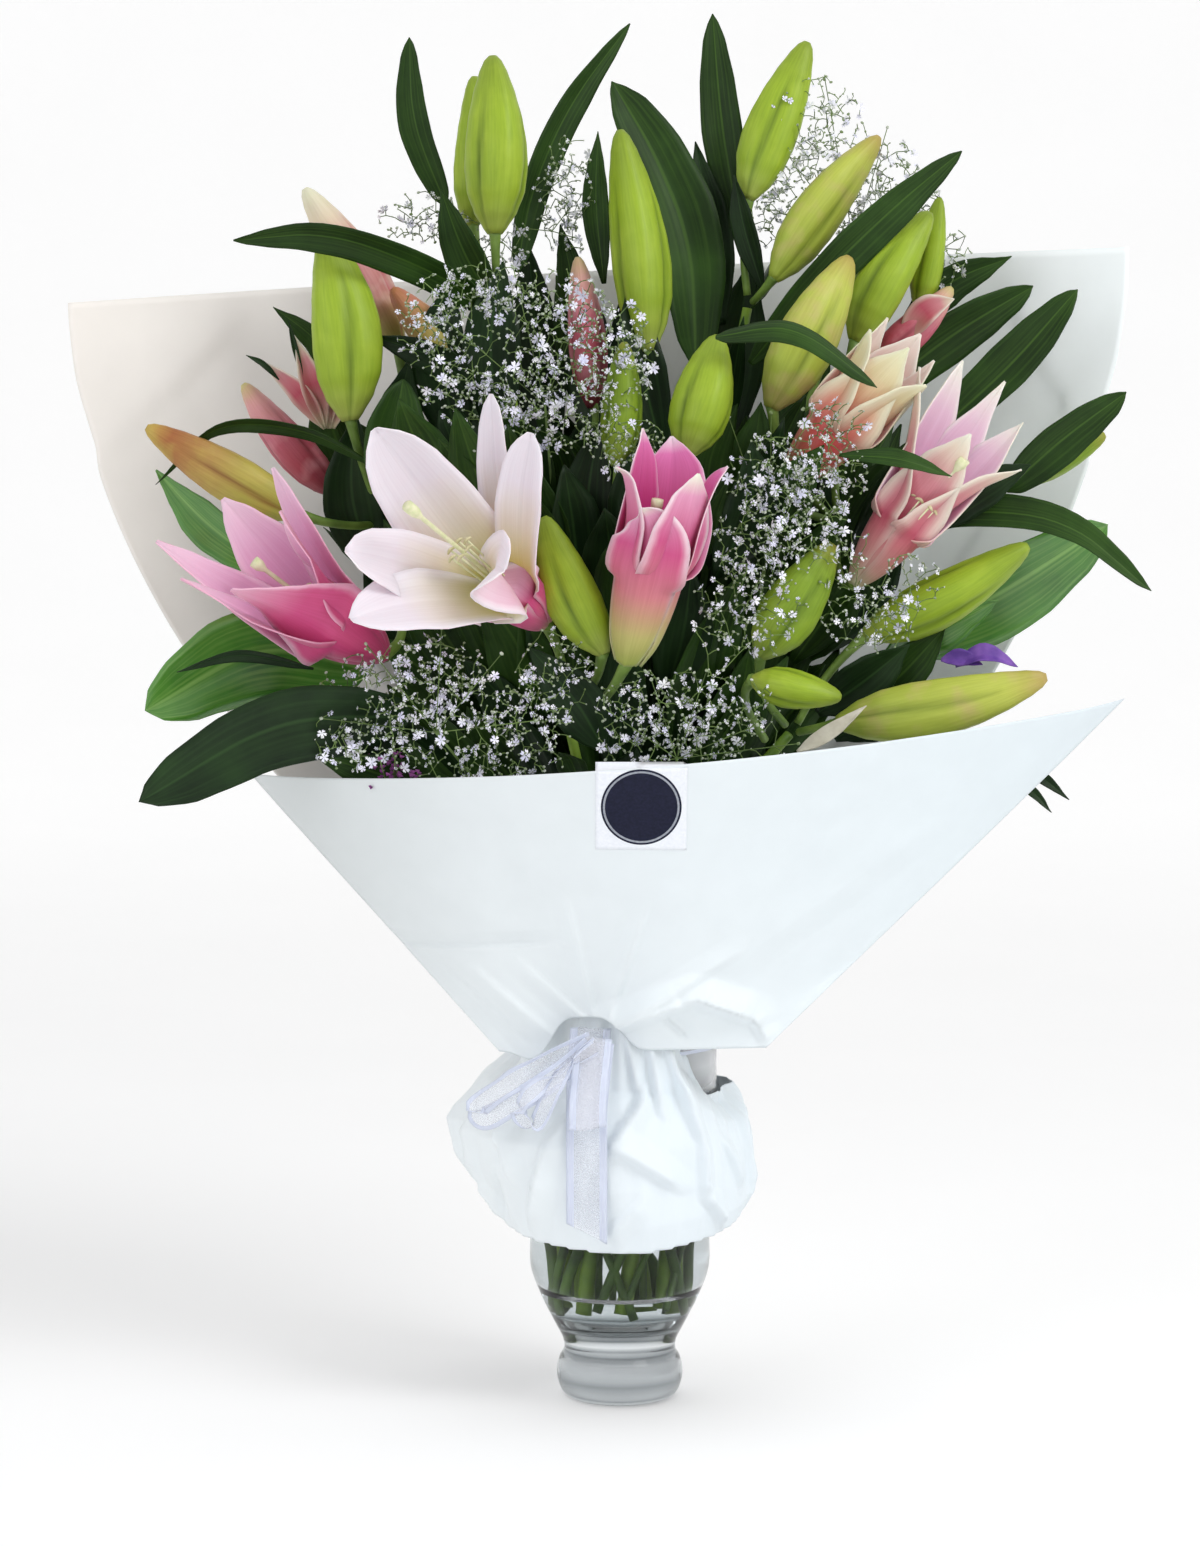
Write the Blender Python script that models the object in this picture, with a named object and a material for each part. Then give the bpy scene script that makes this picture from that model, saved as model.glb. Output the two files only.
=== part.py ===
# Lilies, buds, leaves and gypsophila in a clear footed vase, wrapped in white paper.
# The origin is the centre of the vase's flat underside and the bouquet faces -Y.
# Lengths in this file are millimetres; mm() turns a place into Blender's metres.

import math

import bmesh
import bpy
from mathutils import Vector

GAP = 0.4  # clearance between pieces that touch
SLEEVE_GAP = 0.5  # clearance of the water from a stem at its foot

# Glass vase, as (radius, height) down from the rim's inner edge and up from the foot.
VASE_SIDES = 28
VASE_OUTSIDE = [(25.4, 0), (29.2, 3.2), (31.5, 9.5), (31.7, 15), (30.4, 20.5), (28.1, 25), (28.9, 30.5),
                (33.0, 38.5), (40.2, 53), (45.2, 68), (47.9, 88), (48.8, 122), (48.7, 170), (49.4, 213)]
VASE_RIM = [(48.6, 215), (47.2, 215), (46.4, 213)]
VASE_INSIDE = [(45.7, 170), (45.9, 122), (45.2, 88), (42.5, 69), (37.2, 55), (30.0, 45), (20.0, 40)]
VASE_FLOOR = 38.5
WATER_LEVEL = 150

# The stems stand in a ring that narrows at the tie point and turns as it rises.
STEM_RADIUS = 3.4
STEM_FOOT = 47
STEM_ROWS, STEM_SIDES = 13, 8
STEM_TAPER = 0.72  # a stem's radius at its top, as a share of its radius at its foot
SPRAY_ROWS, SPRAY_SIDES = 14, 5
TIE_HEIGHT = 240
RING_FOOT, RING_WIDEST, RING_TIE = 20.5, 22.5, 13.0
RING_WIDEST_AT = 0.45  # share of the way up to the tie
RING_NARROWING = 1.4
RING_TURN = 80  # degrees from foot to tie
SPRAY_RING = 0.42  # the sprays' thin stems stand this far out, as a share of the lily ring
SPRAY_FOOT = 52
LEAD = 36  # the length over which a stem leaves the tie, if it goes on for twice that

# Each lily stem: its place in the ring (degrees at the tie) and where it ends, under its buds.
STEMS = {
    "stem_1": dict(place=146, top=(-61, 17, 541)),
    "stem_2": dict(place=95, top=(13, 12, 484)),
    "stem_3": dict(place=44, top=(64, 30, 548)),
    "stem_4": dict(place=352, top=(106, -14, 440)),
    "stem_5": dict(place=198, top=(-116, -12, 440)),
    "stem_6": dict(place=249, top=(-25, -62, 345)),
    "stem_7": dict(place=301, top=(82, -56, 340)),
}

# Each bud: the stem that it grows on, its own base and tip, and its width.
BUDS = {
    "bud_01": dict(stem="stem_1", base=(-62, 2, 584), tip=(-63, 12, 672), width=31),
    "bud_02": dict(stem="stem_1", base=(-74, 33, 589), tip=(-73, 41, 664), width=25),
    "bud_03": dict(stem="stem_2", base=(14, -13, 526), tip=(0, 3, 635), width=29),
    "bud_04": dict(stem="stem_3", base=(64, 30, 602), tip=(94, 40, 681), width=27),
    "bud_05": dict(stem="stem_3", base=(76, 8, 562), tip=(129, 22, 633), width=25),
    "bud_06": dict(stem="stem_4", base=(116, 0, 531), tip=(154, 12, 595), width=27),
    "bud_07": dict(stem="stem_4", base=(73, -38, 498), tip=(112, -24, 572), width=30),
    "bud_08": dict(stem="stem_2", base=(32, -75, 476), tip=(47, -62, 533), width=29),
    "bud_09": dict(stem="stem_5", base=(-132, -34, 492), tip=(-144, -28, 584), width=34),
    "bud_10": dict(stem="stem_5", base=(-110, 14, 529), tip=(-157, 16, 607), width=25),
    "bud_11": dict(stem="stem_5", base=(-156, -45, 446), tip=(-230, -50, 489), width=24),
    "bud_12": dict(stem="stem_5", base=(-141, -2, 455), tip=(-187, -2, 510), width=20),
    "bud_13": dict(stem="stem_6", base=(-8, -104, 382), tip=(-37, -101, 447), width=26,
                   start=(-33, -72, 349)),
    "bud_14": dict(stem="stem_7", base=(66, -88, 380), tip=(101, -90, 434), width=28),
    "bud_15": dict(stem="stem_7", base=(62, -104, 370), tip=(104, -114, 362), width=19,
                   start=(70, -64, 338)),
    "bud_16": dict(stem="stem_7", base=(104, -78, 347), tip=(204, -87, 370), width=28),
    "bud_17": dict(stem="stem_7", base=(118, -56, 388), tip=(197, -64, 432), width=26),
    "bud_18": dict(stem="stem_4", base=(193, -4, 462), tip=(240, -8, 485), width=19),
}
BUD_SIDES = 8
# (share of the bud's length, share of its half width)
BUD_OUTLINE = [(0.0, 0.3), (0.1, 0.6), (0.24, 0.88), (0.4, 1.0), (0.6, 0.93), (0.79, 0.68), (0.92, 0.4)]
STALK_RADIUS = 1.9
STALK_RINGS = [0, 0.35, 0.7]  # shares of a stalk's length
STALK_SWING = 0.12  # how far a stalk bows back from its flower's direction, as a share of its length
STALK_CLEARANCE = 6.5  # from the stem's end to where a stalk starts

# Each bloom: base, the point its six petals open round, how long and wide it opens, and where
# along its length the petals part. A higher flare keeps the tube narrow for longer.
BLOOMS = {
    "bloom_open_pale": dict(stem="stem_6", base=(-35, -92, 396), mouth=(-88, -146, 447), reach=52,
                            flare=1.5, part=0.6, roll=8),
    "bloom_open_left": dict(stem="stem_5", base=(-112, -84, 379), mouth=(-197, -100, 436), reach=29,
                            flare=1.4, part=0.42, roll=20),
    "bloom_trumpet": dict(stem="stem_6", base=(3, -116, 378), mouth=(25, -126, 470), reach=22,
                          flare=1.6, part=0.62, roll=0),
    "bloom_right": dict(stem="stem_4", base=(112, -64, 413), mouth=(170, -66, 488), reach=27,
                        flare=1.6, part=0.5, roll=12),
    "bloom_half_open": dict(stem="stem_4", base=(80, -52, 462), mouth=(138, -54, 524), reach=15,
                            flare=1.3, part=0.72, roll=0),
}
PETALS = 6
BLOOM_SIDES = 12  # a point on each petal's middle and one between petals
PETAL_THICKNESS = 1.3
BLOOM_ROWS = 5
THROAT_RADIUS = 4.5
BLOOM_BEND = 0.1  # how much the petals' tips fall back, as a share of the bloom's length
BLOOM_FLOOR = 0.06

# Each leaf: its middle line from base to tip, its width, and how far it is turned about that
# line from facing the front, in degrees.
LEAVES = {
    "leaf_01": dict(line=[(-88, 50, 600), (-103, 48, 642), (-106, 46, 684)], width=17, turn=20),
    "leaf_02": dict(line=[(-52, 30, 566), (-44, 40, 607), (-25, 49, 650), (5, 60, 692)],
                    width=17, turn=-25),
    "leaf_03": dict(line=[(-62, -2, 545), (-93, -30, 565), (-140, -54, 581), (-187, -52, 579)],
                    width=19, turn=30),
    "leaf_04": dict(line=[(38, 26, 520), (34, 34, 577), (18, 40, 622), (-4, 46, 662)],
                    width=36, turn=-15),
    "leaf_05": dict(line=[(60, 50, 592), (52, 56, 641), (47, 62, 697)], width=21, turn=10),
    "leaf_06": dict(line=[(64, -8, 520), (98, -3, 561), (134, 0, 596), (169, 6, 625)], width=22, turn=-20),
    "leaf_07": dict(line=[(122, 20, 500), (164, 24, 533), (207, 26, 559)], width=25, turn=-10),
    "leaf_08": dict(line=[(160, 6, 488), (195, 10, 520), (228, 14, 557)], width=24, turn=12),
    "leaf_09": dict(line=[(45, -84, 532), (82, -92, 534), (121, -100, 508)], width=13, turn=35),
    "leaf_10": dict(line=[(189, -26, 458), (216, -30, 483), (247, -34, 506)], width=22, turn=-15),
    "leaf_11": dict(line=[(118, -26, 430), (160, -34, 446), (214, -46, 442), (257, -60, 410)],
                    width=18, turn=25),
    "leaf_12": dict(line=[(-93, -44, 438), (-110, -46, 474), (-106, -44, 512)], width=36, turn=-20),
    "broad_leaf_1": dict(line=[(-122, -62, 372), (-174, -70, 382), (-228, -87, 354)], width=48, turn=15),
    "broad_leaf_2": dict(line=[(-100, -92, 352), (-163, -112, 349), (-228, -118, 313)], width=40, turn=25),
    "broad_leaf_3": dict(line=[(138, -14, 384), (184, -18, 406), (240, -22, 441)], width=44, turn=-20),
}
LEAF_THICKNESS = 1.0
LEAF_KEEL = 0.12  # depth of the fold along the middle, as a share of the width
LEAF_OUTLINE = [(0.05, 0.2), (0.14, 0.52), (0.28, 0.85), (0.44, 1.0), (0.6, 0.93), (0.74, 0.72),
                (0.86, 0.43), (0.95, 0.17)]

# Each gypsophila spray: its place in the ring, the bend of its stem, its crown and its twigs' ends.
SPRAYS = {
    "gypsophila_1": dict(place=70, bend=(58, 64, 420), crown=(112, 60, 590),
                         twigs=[(84, 62, 628), (104, 60, 664), (136, 62, 640), (158, 56, 606),
                                (172, 50, 578)]),
    "gypsophila_2": dict(place=121, bend=(-42, -2, 380), crown=(-36, -48, 500),
                         twigs=[(-84, -52, 540), (-52, -44, 566), (-14, -42, 560), (12, -50, 512),
                                (-70, -72, 478)]),
    "gypsophila_3": dict(place=326, bend=(66, -22, 340), crown=(72, -64, 440),
                         twigs=[(52, -62, 494), (72, -74, 496), (100, -72, 470), (122, -84, 404),
                                (42, -86, 440)]),
    "gypsophila_4": dict(place=224, bend=(-62, -66, 300), crown=(-88, -116, 346),
                         twigs=[(-142, -112, 352), (-120, -124, 388), (-84, -134, 396), (-56, -134, 384),
                                (-40, -126, 352)]),
    "gypsophila_5": dict(place=275, bend=(30, -64, 290), crown=(26, -118, 334),
                         twigs=[(-8, -128, 358), (14, -134, 372), (40, -132, 376), (64, -126, 350),
                                (84, -112, 340)]),
}
TWIG_RADIUS, TWIG_END_RADIUS, SPRAY_RADIUS = 0.9, 2.4, 1.7
TWIG_ROWS = 4
TWIG_SAG = (0, -4, -6)

# White paper.
PAPER = 0.8
BACK_CORNERS = [(-278, 40, 551), (-10, 108, 569), (257, 40, 579)]  # left, middle, right of its top
BACK_FOOT_RADIUS, BACK_FOOT_HEIGHT = 53.2, 180
BACK_FOOT_FROM, BACK_FOOT_TO = 196, -16  # degrees round the vase, left to right
BACK_NECK = 16  # the straight part under the ribbon
BACK_SPREAD = 1.9  # a higher number opens the sheet sooner above the neck
FRONT_FOOT = [(-59, -60, 185), (-8, -64, 194), (71, -61, 187)]
FRONT_TOP = [(-180, -60, 321), (30, -150, 331), (246, -60, 357)]
FRONT_TOP_LIFT = 1.5  # a higher number keeps the top edge level for longer before its right corner
GATHER_AT, GATHER_WIDTH, GATHER_RISE = 0.39, 0.12, 9  # the ribbon lifts the front sheet's foot here
SKIRT_SIDES = 28
SKIRT_TOP, SKIRT_FOOT = 186, 84
SKIRT_NOTCH, SKIRT_NOTCH_AT, SKIRT_NOTCH_HALF = 28, -15, 50  # depth, degrees, half width in degrees
SKIRT_SHIFT = -9  # the gathers pull the skirt to the left of the vase
SKIRT_BACK_RISE = 12  # the hem is this much higher at the sides than at the front
# (share of the way down, radius)
SKIRT_OUTLINE = [(0.0, 51.2), (0.1, 51.8), (0.24, 64), (0.48, 72.5), (0.68, 71.5), (0.86, 67),
                 (1.0, 61.5)]

# Ribbon and seal.
BAND_RADIUS, BAND_HEIGHT, BAND_WIDTH = 54.4, 187, 9
RIBBON = 0.6
KNOT = (-8, -70, 192)
TAIL_WIDTH, TAIL_FOOT, TAIL_LEAN, TAIL_LIFT = 18.5, 87, -10, 3.6
TAIL_ROWS = 10
LOOP_LINE = [(-28, -71, 187), (-42, -76, 180), (-60, -75, 166), (-78, -66, 152)]
LOOP_WIDTH = 19
SEAL_RADIUS, SEAL_THICKNESS, SEAL_SIDES = 19, 0.6, 32
SEAL_ACROSS, SEAL_UP = 0.46, 0.86  # place on the front sheet, as shares of its width and height

COLOURS = {  # linear base colour, roughness
    "glass": ((0.85, 0.9, 0.9), 0.05),
    "water": ((0.75, 0.85, 0.8), 0.05),
    "stem": ((0.1, 0.2, 0.04), 0.5),
    "bud": ((0.35, 0.5, 0.08), 0.5),
    "petal": ((0.8, 0.3, 0.4), 0.5),
    "leaf": ((0.03, 0.07, 0.02), 0.4),
    "spray": ((0.4, 0.5, 0.4), 0.7),
    "paper": ((0.85, 0.86, 0.88), 0.7),
    "ribbon": ((0.75, 0.75, 0.85), 0.4),
    "seal": ((0.02, 0.025, 0.05), 0.5),
}


def mm(place):
    return Vector(place) * 0.001


def mix(a, b, share):
    return a + (b - a) * share


def material(kind):
    """The material of one kind, made the first time it is asked for."""
    if kind in bpy.data.materials:
        return bpy.data.materials[kind]
    made = bpy.data.materials.new(kind)
    made.use_nodes = True
    shader = made.node_tree.nodes["Principled BSDF"]
    colour, roughness = COLOURS[kind]
    shader.inputs["Base Color"].default_value = (*colour, 1)
    shader.inputs["Roughness"].default_value = roughness
    shader.inputs["Metallic"].default_value = 0
    made.diffuse_color = (*colour, 1)
    return made


def piece(name, mesh, kind):
    """An object from a closed bmesh, its faces turned outwards."""
    bmesh.ops.recalc_face_normals(mesh, faces=mesh.faces)
    data = bpy.data.meshes.new(name)
    mesh.to_mesh(data)
    mesh.free()
    data.materials.append(material(kind))
    data.shade_smooth()
    data.set_sharp_from_angle(angle=math.radians(40))
    made = bpy.data.objects.new(name, data)
    bpy.context.scene.collection.objects.link(made)
    return made


def split_face(mesh, a, b, c, d):
    """A four-sided face as two triangles that meet along a-c."""
    mesh.faces.new((a, b, c))
    mesh.faces.new((a, c, d))


def join_rings(mesh, rings, closed=False, is_back=lambda row, side: False):
    """Faces between neighbouring rings of points, and between the last and the first when closed.

    The back wall of a thin shape splits its faces the other way, so both walls bend alike."""
    pairs = list(zip(rings, rings[1:]))
    if closed:
        pairs.append((rings[-1], rings[0]))
    for row, (low, high) in enumerate(pairs):
        for i in range(len(low)):
            j = (i + 1) % len(low)
            if is_back(row, i):
                split_face(mesh, low[j], high[j], high[i], low[i])
            else:
                split_face(mesh, low[i], low[j], high[j], high[i])


def loft(start, rings, end, is_back=lambda row, side: False):
    """A closed bmesh through rings of points, with one point at each end."""
    mesh = bmesh.new()
    rows = [[mesh.verts.new(mm(point)) for point in ring] for ring in rings]
    join_rings(mesh, rows, False, is_back)
    for pole, row in ((start, rows[0]), (end, rows[-1])):
        tip = mesh.verts.new(mm(pole))
        for i in range(len(row)):
            mesh.faces.new((tip, row[i], row[(i + 1) % len(row)]))
    return mesh


def along(points, share):
    """The place at a share of the way along a smooth curve through the points."""
    spans = len(points) - 1
    span = min(int(share * spans), spans - 1)
    t = share * spans - span
    p1, p2 = Vector(points[span]), Vector(points[span + 1])
    p0 = Vector(points[span - 1]) if span > 0 else p1 * 2 - p2
    p3 = Vector(points[span + 2]) if span + 2 <= spans else p2 * 2 - p1
    square = (2 * p0 - 5 * p1 + 4 * p2 - p3) * t**2
    cube = (3 * p1 - p0 - 3 * p2 + p3) * t**3
    return 0.5 * (2 * p1 + (p2 - p0) * t + square + cube)


def heading(points, share):
    step = 0.02
    return (along(points, min(share + step, 1)) - along(points, max(share - step, 0))).normalized()


def across(direction, facing=(0, -1, 0)):
    """Two directions square to a heading: sideways, and the one nearest to facing."""
    side = direction.cross(Vector(facing)).normalized()
    return side, side.cross(direction)


def circle(centre, direction, radius, sides, facing=(0, -1, 0)):
    side, front = across(direction, facing)
    turns = [2 * math.pi * i / sides for i in range(sides)]
    return [centre + side * (radius * math.cos(t)) + front * (radius * math.sin(t)) for t in turns]


def tube(points, start_radius, end_radius, rows, sides, facing=(0, -1, 0)):
    """A closed tapering tube along a smooth curve through the points."""
    rings = []
    for i in range(rows + 1):
        share = i / rows
        radius = mix(start_radius, end_radius, share)
        rings.append(circle(along(points, share), heading(points, share), radius, sides, facing))
    return loft(Vector(points[0]), rings, Vector(points[-1]))


def turned(profile, sides, start, end):
    """A solid of revolution about Z from (radius, height) points, with its two ends on the axis."""
    turns = [2 * math.pi * i / sides for i in range(sides)]
    rings = [[Vector((r * math.cos(t), r * math.sin(t), z)) for t in turns] for r, z in profile]
    return loft(Vector((0, 0, start)), rings, Vector((0, 0, end)))


def slab(rows, thickness):
    """A closed sheet of even thickness round a grid of points."""
    mesh = bmesh.new()
    last, end = len(rows) - 1, len(rows[0]) - 1

    def normal(i, j):
        up = rows[min(i + 1, last)][j] - rows[max(i - 1, 0)][j]
        over = rows[i][min(j + 1, end)] - rows[i][max(j - 1, 0)]
        return up.cross(over).normalized() * (thickness / 2)

    edges = []
    for sign in (1, -1):
        grid = []
        for i, row in enumerate(rows):
            grid.append([mesh.verts.new(mm(place + normal(i, j) * sign)) for j, place in enumerate(row)])
        for low, high in zip(grid, grid[1:]):
            for j in range(end):
                split_face(mesh, low[j], low[j + 1], high[j + 1], high[j])
        right_side = [row[end] for row in grid[1:]]
        left_side = [row[0] for row in grid[last - 1:0:-1]]
        edges.append(grid[0] + right_side + grid[last][end - 1::-1] + left_side)
    join_rings(mesh, edges)
    return mesh


def cut(target, cutter):
    """Takes the cutter's shape out of the target."""
    cutter.hide_render = True
    cutter.display_type = "WIRE"
    change = target.modifiers.new("cut", "BOOLEAN")
    change.operation = "DIFFERENCE"
    change.object = cutter


def add(target, branch):
    """Grows a branch's shape onto the target."""
    branch.hide_render = True
    branch.display_type = "WIRE"
    change = target.modifiers.new("join", "BOOLEAN")
    change.operation = "UNION"
    change.object = branch


def ring_place(place, height, share=1.0):
    """A stem's place in the ring at a height: wide in the vase, narrow at the tie."""
    rise = (height - STEM_FOOT) / (TIE_HEIGHT - STEM_FOOT)
    if rise < RING_WIDEST_AT:
        radius = mix(RING_FOOT, RING_WIDEST, rise / RING_WIDEST_AT)
    else:
        left = (rise - RING_WIDEST_AT) / (1 - RING_WIDEST_AT)
        radius = mix(RING_WIDEST, RING_TIE, left**RING_NARROWING)
    turn = math.radians(place - RING_TURN * (1 - rise))
    return Vector((radius * share * math.cos(turn), radius * share * math.sin(turn), height))


def ring_line(place, foot, onward, share=1.0):
    """The points of a stem from its cut end up to the tie, and a first short way onward."""
    heights = [foot + (TIE_HEIGHT - foot) * i / 5 for i in range(6)]
    line = [ring_place(place, height, share) for height in heights]
    way = Vector(onward) - line[-1]
    return line + [line[-1] + way.normalized() * min(LEAD, way.length / 2)]


def make_vase():
    profile = VASE_OUTSIDE + VASE_RIM + VASE_INSIDE
    piece("glass_vase", turned(profile, VASE_SIDES, 0, VASE_FLOOR), "glass")


def stem_points(name):
    stem = STEMS[name]
    tie = ring_place(stem["place"], TIE_HEIGHT)
    top = Vector(stem["top"])
    rise = (top - tie) / 3
    bend = tie + Vector((rise.x * 0.8, rise.y * 0.8, rise.z))
    return ring_line(stem["place"], STEM_FOOT + stem["place"] % 5, bend) + [bend, top]


def make_stems():
    for name in STEMS:
        top_radius = STEM_RADIUS * STEM_TAPER
        piece(name, tube(stem_points(name), STEM_RADIUS, top_radius, STEM_ROWS, STEM_SIDES), "stem")


def spray_points(spray):
    line = ring_line(spray["place"], SPRAY_FOOT, spray["bend"], SPRAY_RING)
    return line + [Vector(spray["bend"]), Vector(spray["crown"])]


def make_sprays():
    for name, spray in SPRAYS.items():
        line = spray_points(spray)
        stem = piece(name, tube(line, SPRAY_RADIUS, TWIG_RADIUS, SPRAY_ROWS, SPRAY_SIDES), "spray")
        for number, end in enumerate(spray["twigs"]):
            # two twigs start on each straight span of the stem, from its end downwards
            span = SPRAY_ROWS - 1 - number // 2
            low, high = along(line, span / SPRAY_ROWS), along(line, (span + 1) / SPRAY_ROWS)
            root = low.lerp(high, 0.3 + 0.4 * (number % 2))
            bow = (root + Vector(end)) / 2 + Vector(TWIG_SAG)
            twig = tube([root, bow, Vector(end)], TWIG_RADIUS, TWIG_END_RADIUS, TWIG_ROWS, SPRAY_SIDES)
            add(stem, piece(name + "_twig", twig, "spray"))


def make_water():
    """Water up to its level, with a sleeve of free space for every stem that stands in it."""
    inside = [(r - GAP, z) for r, z in reversed(VASE_INSIDE) if z < WATER_LEVEL]
    top = inside[-1][0]
    profile = [(r, z + GAP) for r, z in inside] + [(top, WATER_LEVEL)]
    water = piece("water", turned(profile, VASE_SIDES, VASE_FLOOR + GAP, WATER_LEVEL), "water")
    for name in STEMS:
        sleeve = tube(stem_points(name), STEM_RADIUS + SLEEVE_GAP, STEM_RADIUS, STEM_ROWS, STEM_SIDES)
        cut(water, piece(name + "_sleeve", sleeve, "water"))
    for name, spray in SPRAYS.items():
        line = spray_points(spray)
        sleeve = tube(line, SPRAY_RADIUS + SLEEVE_GAP, SPRAY_RADIUS, SPRAY_ROWS, SPRAY_SIDES)
        cut(water, piece(name + "_sleeve", sleeve, "water"))


def stalk_start(flower):
    """Where a stalk leaves its stem's end, a little clear of it and towards the flower."""
    if "start" in flower:
        return Vector(flower["start"])
    top = Vector(STEMS[flower["stem"]]["top"])
    way = Vector(flower["base"]) - top
    return top + way.normalized() * STALK_CLEARANCE


def stalk_rings(flower, mouth, sides, facing):
    """The rings of a stalk that swings from its stem into the flower's own direction."""
    start, base = stalk_start(flower), flower["base"]
    out = (Vector(mouth) - Vector(base)).normalized()
    reach = (Vector(base) - start).length
    line = [start, mix(start, Vector(base), 0.6) - out * (reach * STALK_SWING), Vector(base)]
    rings = []
    facing = across(out, facing)[1]
    for share in reversed(STALK_RINGS):
        way = heading(line, share)
        facing = across(way, facing)[1]
        rings.append(circle(along(line, share), way, STALK_RADIUS, sides, facing))
    return start, rings[::-1]


def make_buds():
    facing = (0.3, -1, 0.2)
    for name, bud in BUDS.items():
        base, tip = Vector(bud["base"]), Vector(bud["tip"])
        start, rings = stalk_rings(bud, tip, BUD_SIDES, facing)
        out = (tip - base).normalized()
        for share, fullness in BUD_OUTLINE:
            rings.append(circle(mix(base, tip, share), out, bud["width"] / 2 * fullness, BUD_SIDES, facing))
        piece(name, loft(start, rings, tip), "bud")


def bloom_point(bloom, share, angle, inset):
    """A point of the trumpet at a share of its length, moved in from its outer face by the inset."""
    base, mouth = Vector(bloom["base"]), Vector(bloom["mouth"])
    length = (mouth - base).length
    out = (mouth - base).normalized()
    side, front = across(out)
    round_axis = side * math.cos(angle) + front * math.sin(angle)
    width, flare = bloom["reach"] - THROAT_RADIUS, bloom["flare"]
    radius = THROAT_RADIUS + width * share**flare
    height = length * share * (1 - BLOOM_BEND * share**3)
    widening = width * flare * share ** (flare - 1)
    rising = length * (1 - 4 * BLOOM_BEND * share**3)
    inwards = (out * widening - round_axis * rising).normalized()
    return base + out * height + round_axis * radius + inwards * inset


def bloom_ring(bloom, row, inset):
    """One ring round the trumpet, higher along each petal's middle than between petals."""
    ring = []
    for i in range(BLOOM_SIDES):
        angle = 2 * math.pi * i / BLOOM_SIDES + math.radians(bloom["roll"])
        length = 1 if i % (BLOOM_SIDES // PETALS) == 0 else bloom["part"]
        ring.append(bloom_point(bloom, row / BLOOM_ROWS * length, angle, inset))
    return ring


def make_blooms():
    facing = (0, -1, 0)
    for name, bloom in BLOOMS.items():
        start, rings = stalk_rings(bloom, bloom["mouth"], BLOOM_SIDES, facing)
        rings += [bloom_ring(bloom, row, 0) for row in range(BLOOM_ROWS + 1)]
        rings += [bloom_ring(bloom, row, PETAL_THICKNESS) for row in range(BLOOM_ROWS, 0, -1)]
        floor = Vector(bloom["base"]).lerp(Vector(bloom["mouth"]), BLOOM_FLOOR)
        inner = len(STALK_RINGS) + BLOOM_ROWS + 1
        piece(name, loft(start, rings, floor, lambda row, side: row >= inner), "petal")


def blade(line, width, turn, outline, thickness, keel):
    """A thin blade along a middle line, folded a little along it and pointed at both ends."""
    rings = []
    for share, fullness in outline:
        centre, way = along(line, share), heading(line, share)
        side, front = across(way)
        swing = math.radians(turn)
        over = side * math.cos(swing) + front * math.sin(swing)
        normal = over.cross(way)
        half = width / 2 * fullness
        fold = normal * (width * keel * fullness)
        rise = normal * (thickness / 2)
        left, right = centre - over * half + fold, centre + over * half + fold
        rings.append([left, centre + rise, right, centre - rise])
    return loft(Vector(line[0]), rings, Vector(line[-1]), lambda row, side: side >= 2)


def make_leaves():
    for name, leaf in LEAVES.items():
        mesh = blade(leaf["line"], leaf["width"], leaf["turn"], LEAF_OUTLINE, LEAF_THICKNESS, LEAF_KEEL)
        piece(name, mesh, "leaf")


def opening(rise):
    """How far the back sheet has spread at a share of its height: quickly at first, like a tulip."""
    return 1 - (1 - rise) ** BACK_SPREAD


def bowed(ends, share):
    """A place on the arc through three points, for a share from the first to the last."""
    first, middle, last = (Vector(end) for end in ends)
    from_first = first * ((1 - share) * (1 - 2 * share))
    return from_first + middle * (4 * share * (1 - share)) + last * (share * (2 * share - 1))


def make_back_sheet():
    columns, rows = 14, 8
    grid = []
    for i in range(rows + 1):
        line = []
        for j in range(columns + 1):
            share = j / columns
            turn = math.radians(mix(BACK_FOOT_FROM, BACK_FOOT_TO, share))
            foot = Vector((math.cos(turn), math.sin(turn), 0)) * BACK_FOOT_RADIUS
            foot.z = BACK_FOOT_HEIGHT
            if i == 0:
                line.append(foot)
                continue
            foot.z += BACK_NECK
            top = bowed(BACK_CORNERS, share)
            rise = (i - 1) / (rows - 1)
            place = foot.lerp(top, opening(rise))
            place.z = mix(foot.z, top.z, rise)
            line.append(place)
        grid.append(line)
    piece("paper_back_sheet", slab(grid, PAPER), "paper")


def front_point(share, rise):
    foot, top = bowed(FRONT_FOOT, share), bowed(FRONT_TOP, share)
    gather = math.exp(-(((share - GATHER_AT) / GATHER_WIDTH) ** 2))
    foot.z = mix(FRONT_FOOT[0][2], FRONT_FOOT[2][2], share) + GATHER_RISE * gather
    top.z = mix(FRONT_TOP[0][2], FRONT_TOP[2][2], share**FRONT_TOP_LIFT)
    return foot.lerp(top, rise)


def make_front_sheet():
    columns, rows = 16, 6
    grid = [[front_point(j / columns, i / rows) for j in range(columns + 1)] for i in range(rows + 1)]
    piece("paper_front_sheet", slab(grid, PAPER), "paper")


def skirt_radius(down):
    for (low, start), (high, end) in zip(SKIRT_OUTLINE, SKIRT_OUTLINE[1:]):
        if down <= high:
            return mix(start, end, (down - low) / (high - low))
    return SKIRT_OUTLINE[-1][1]


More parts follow.
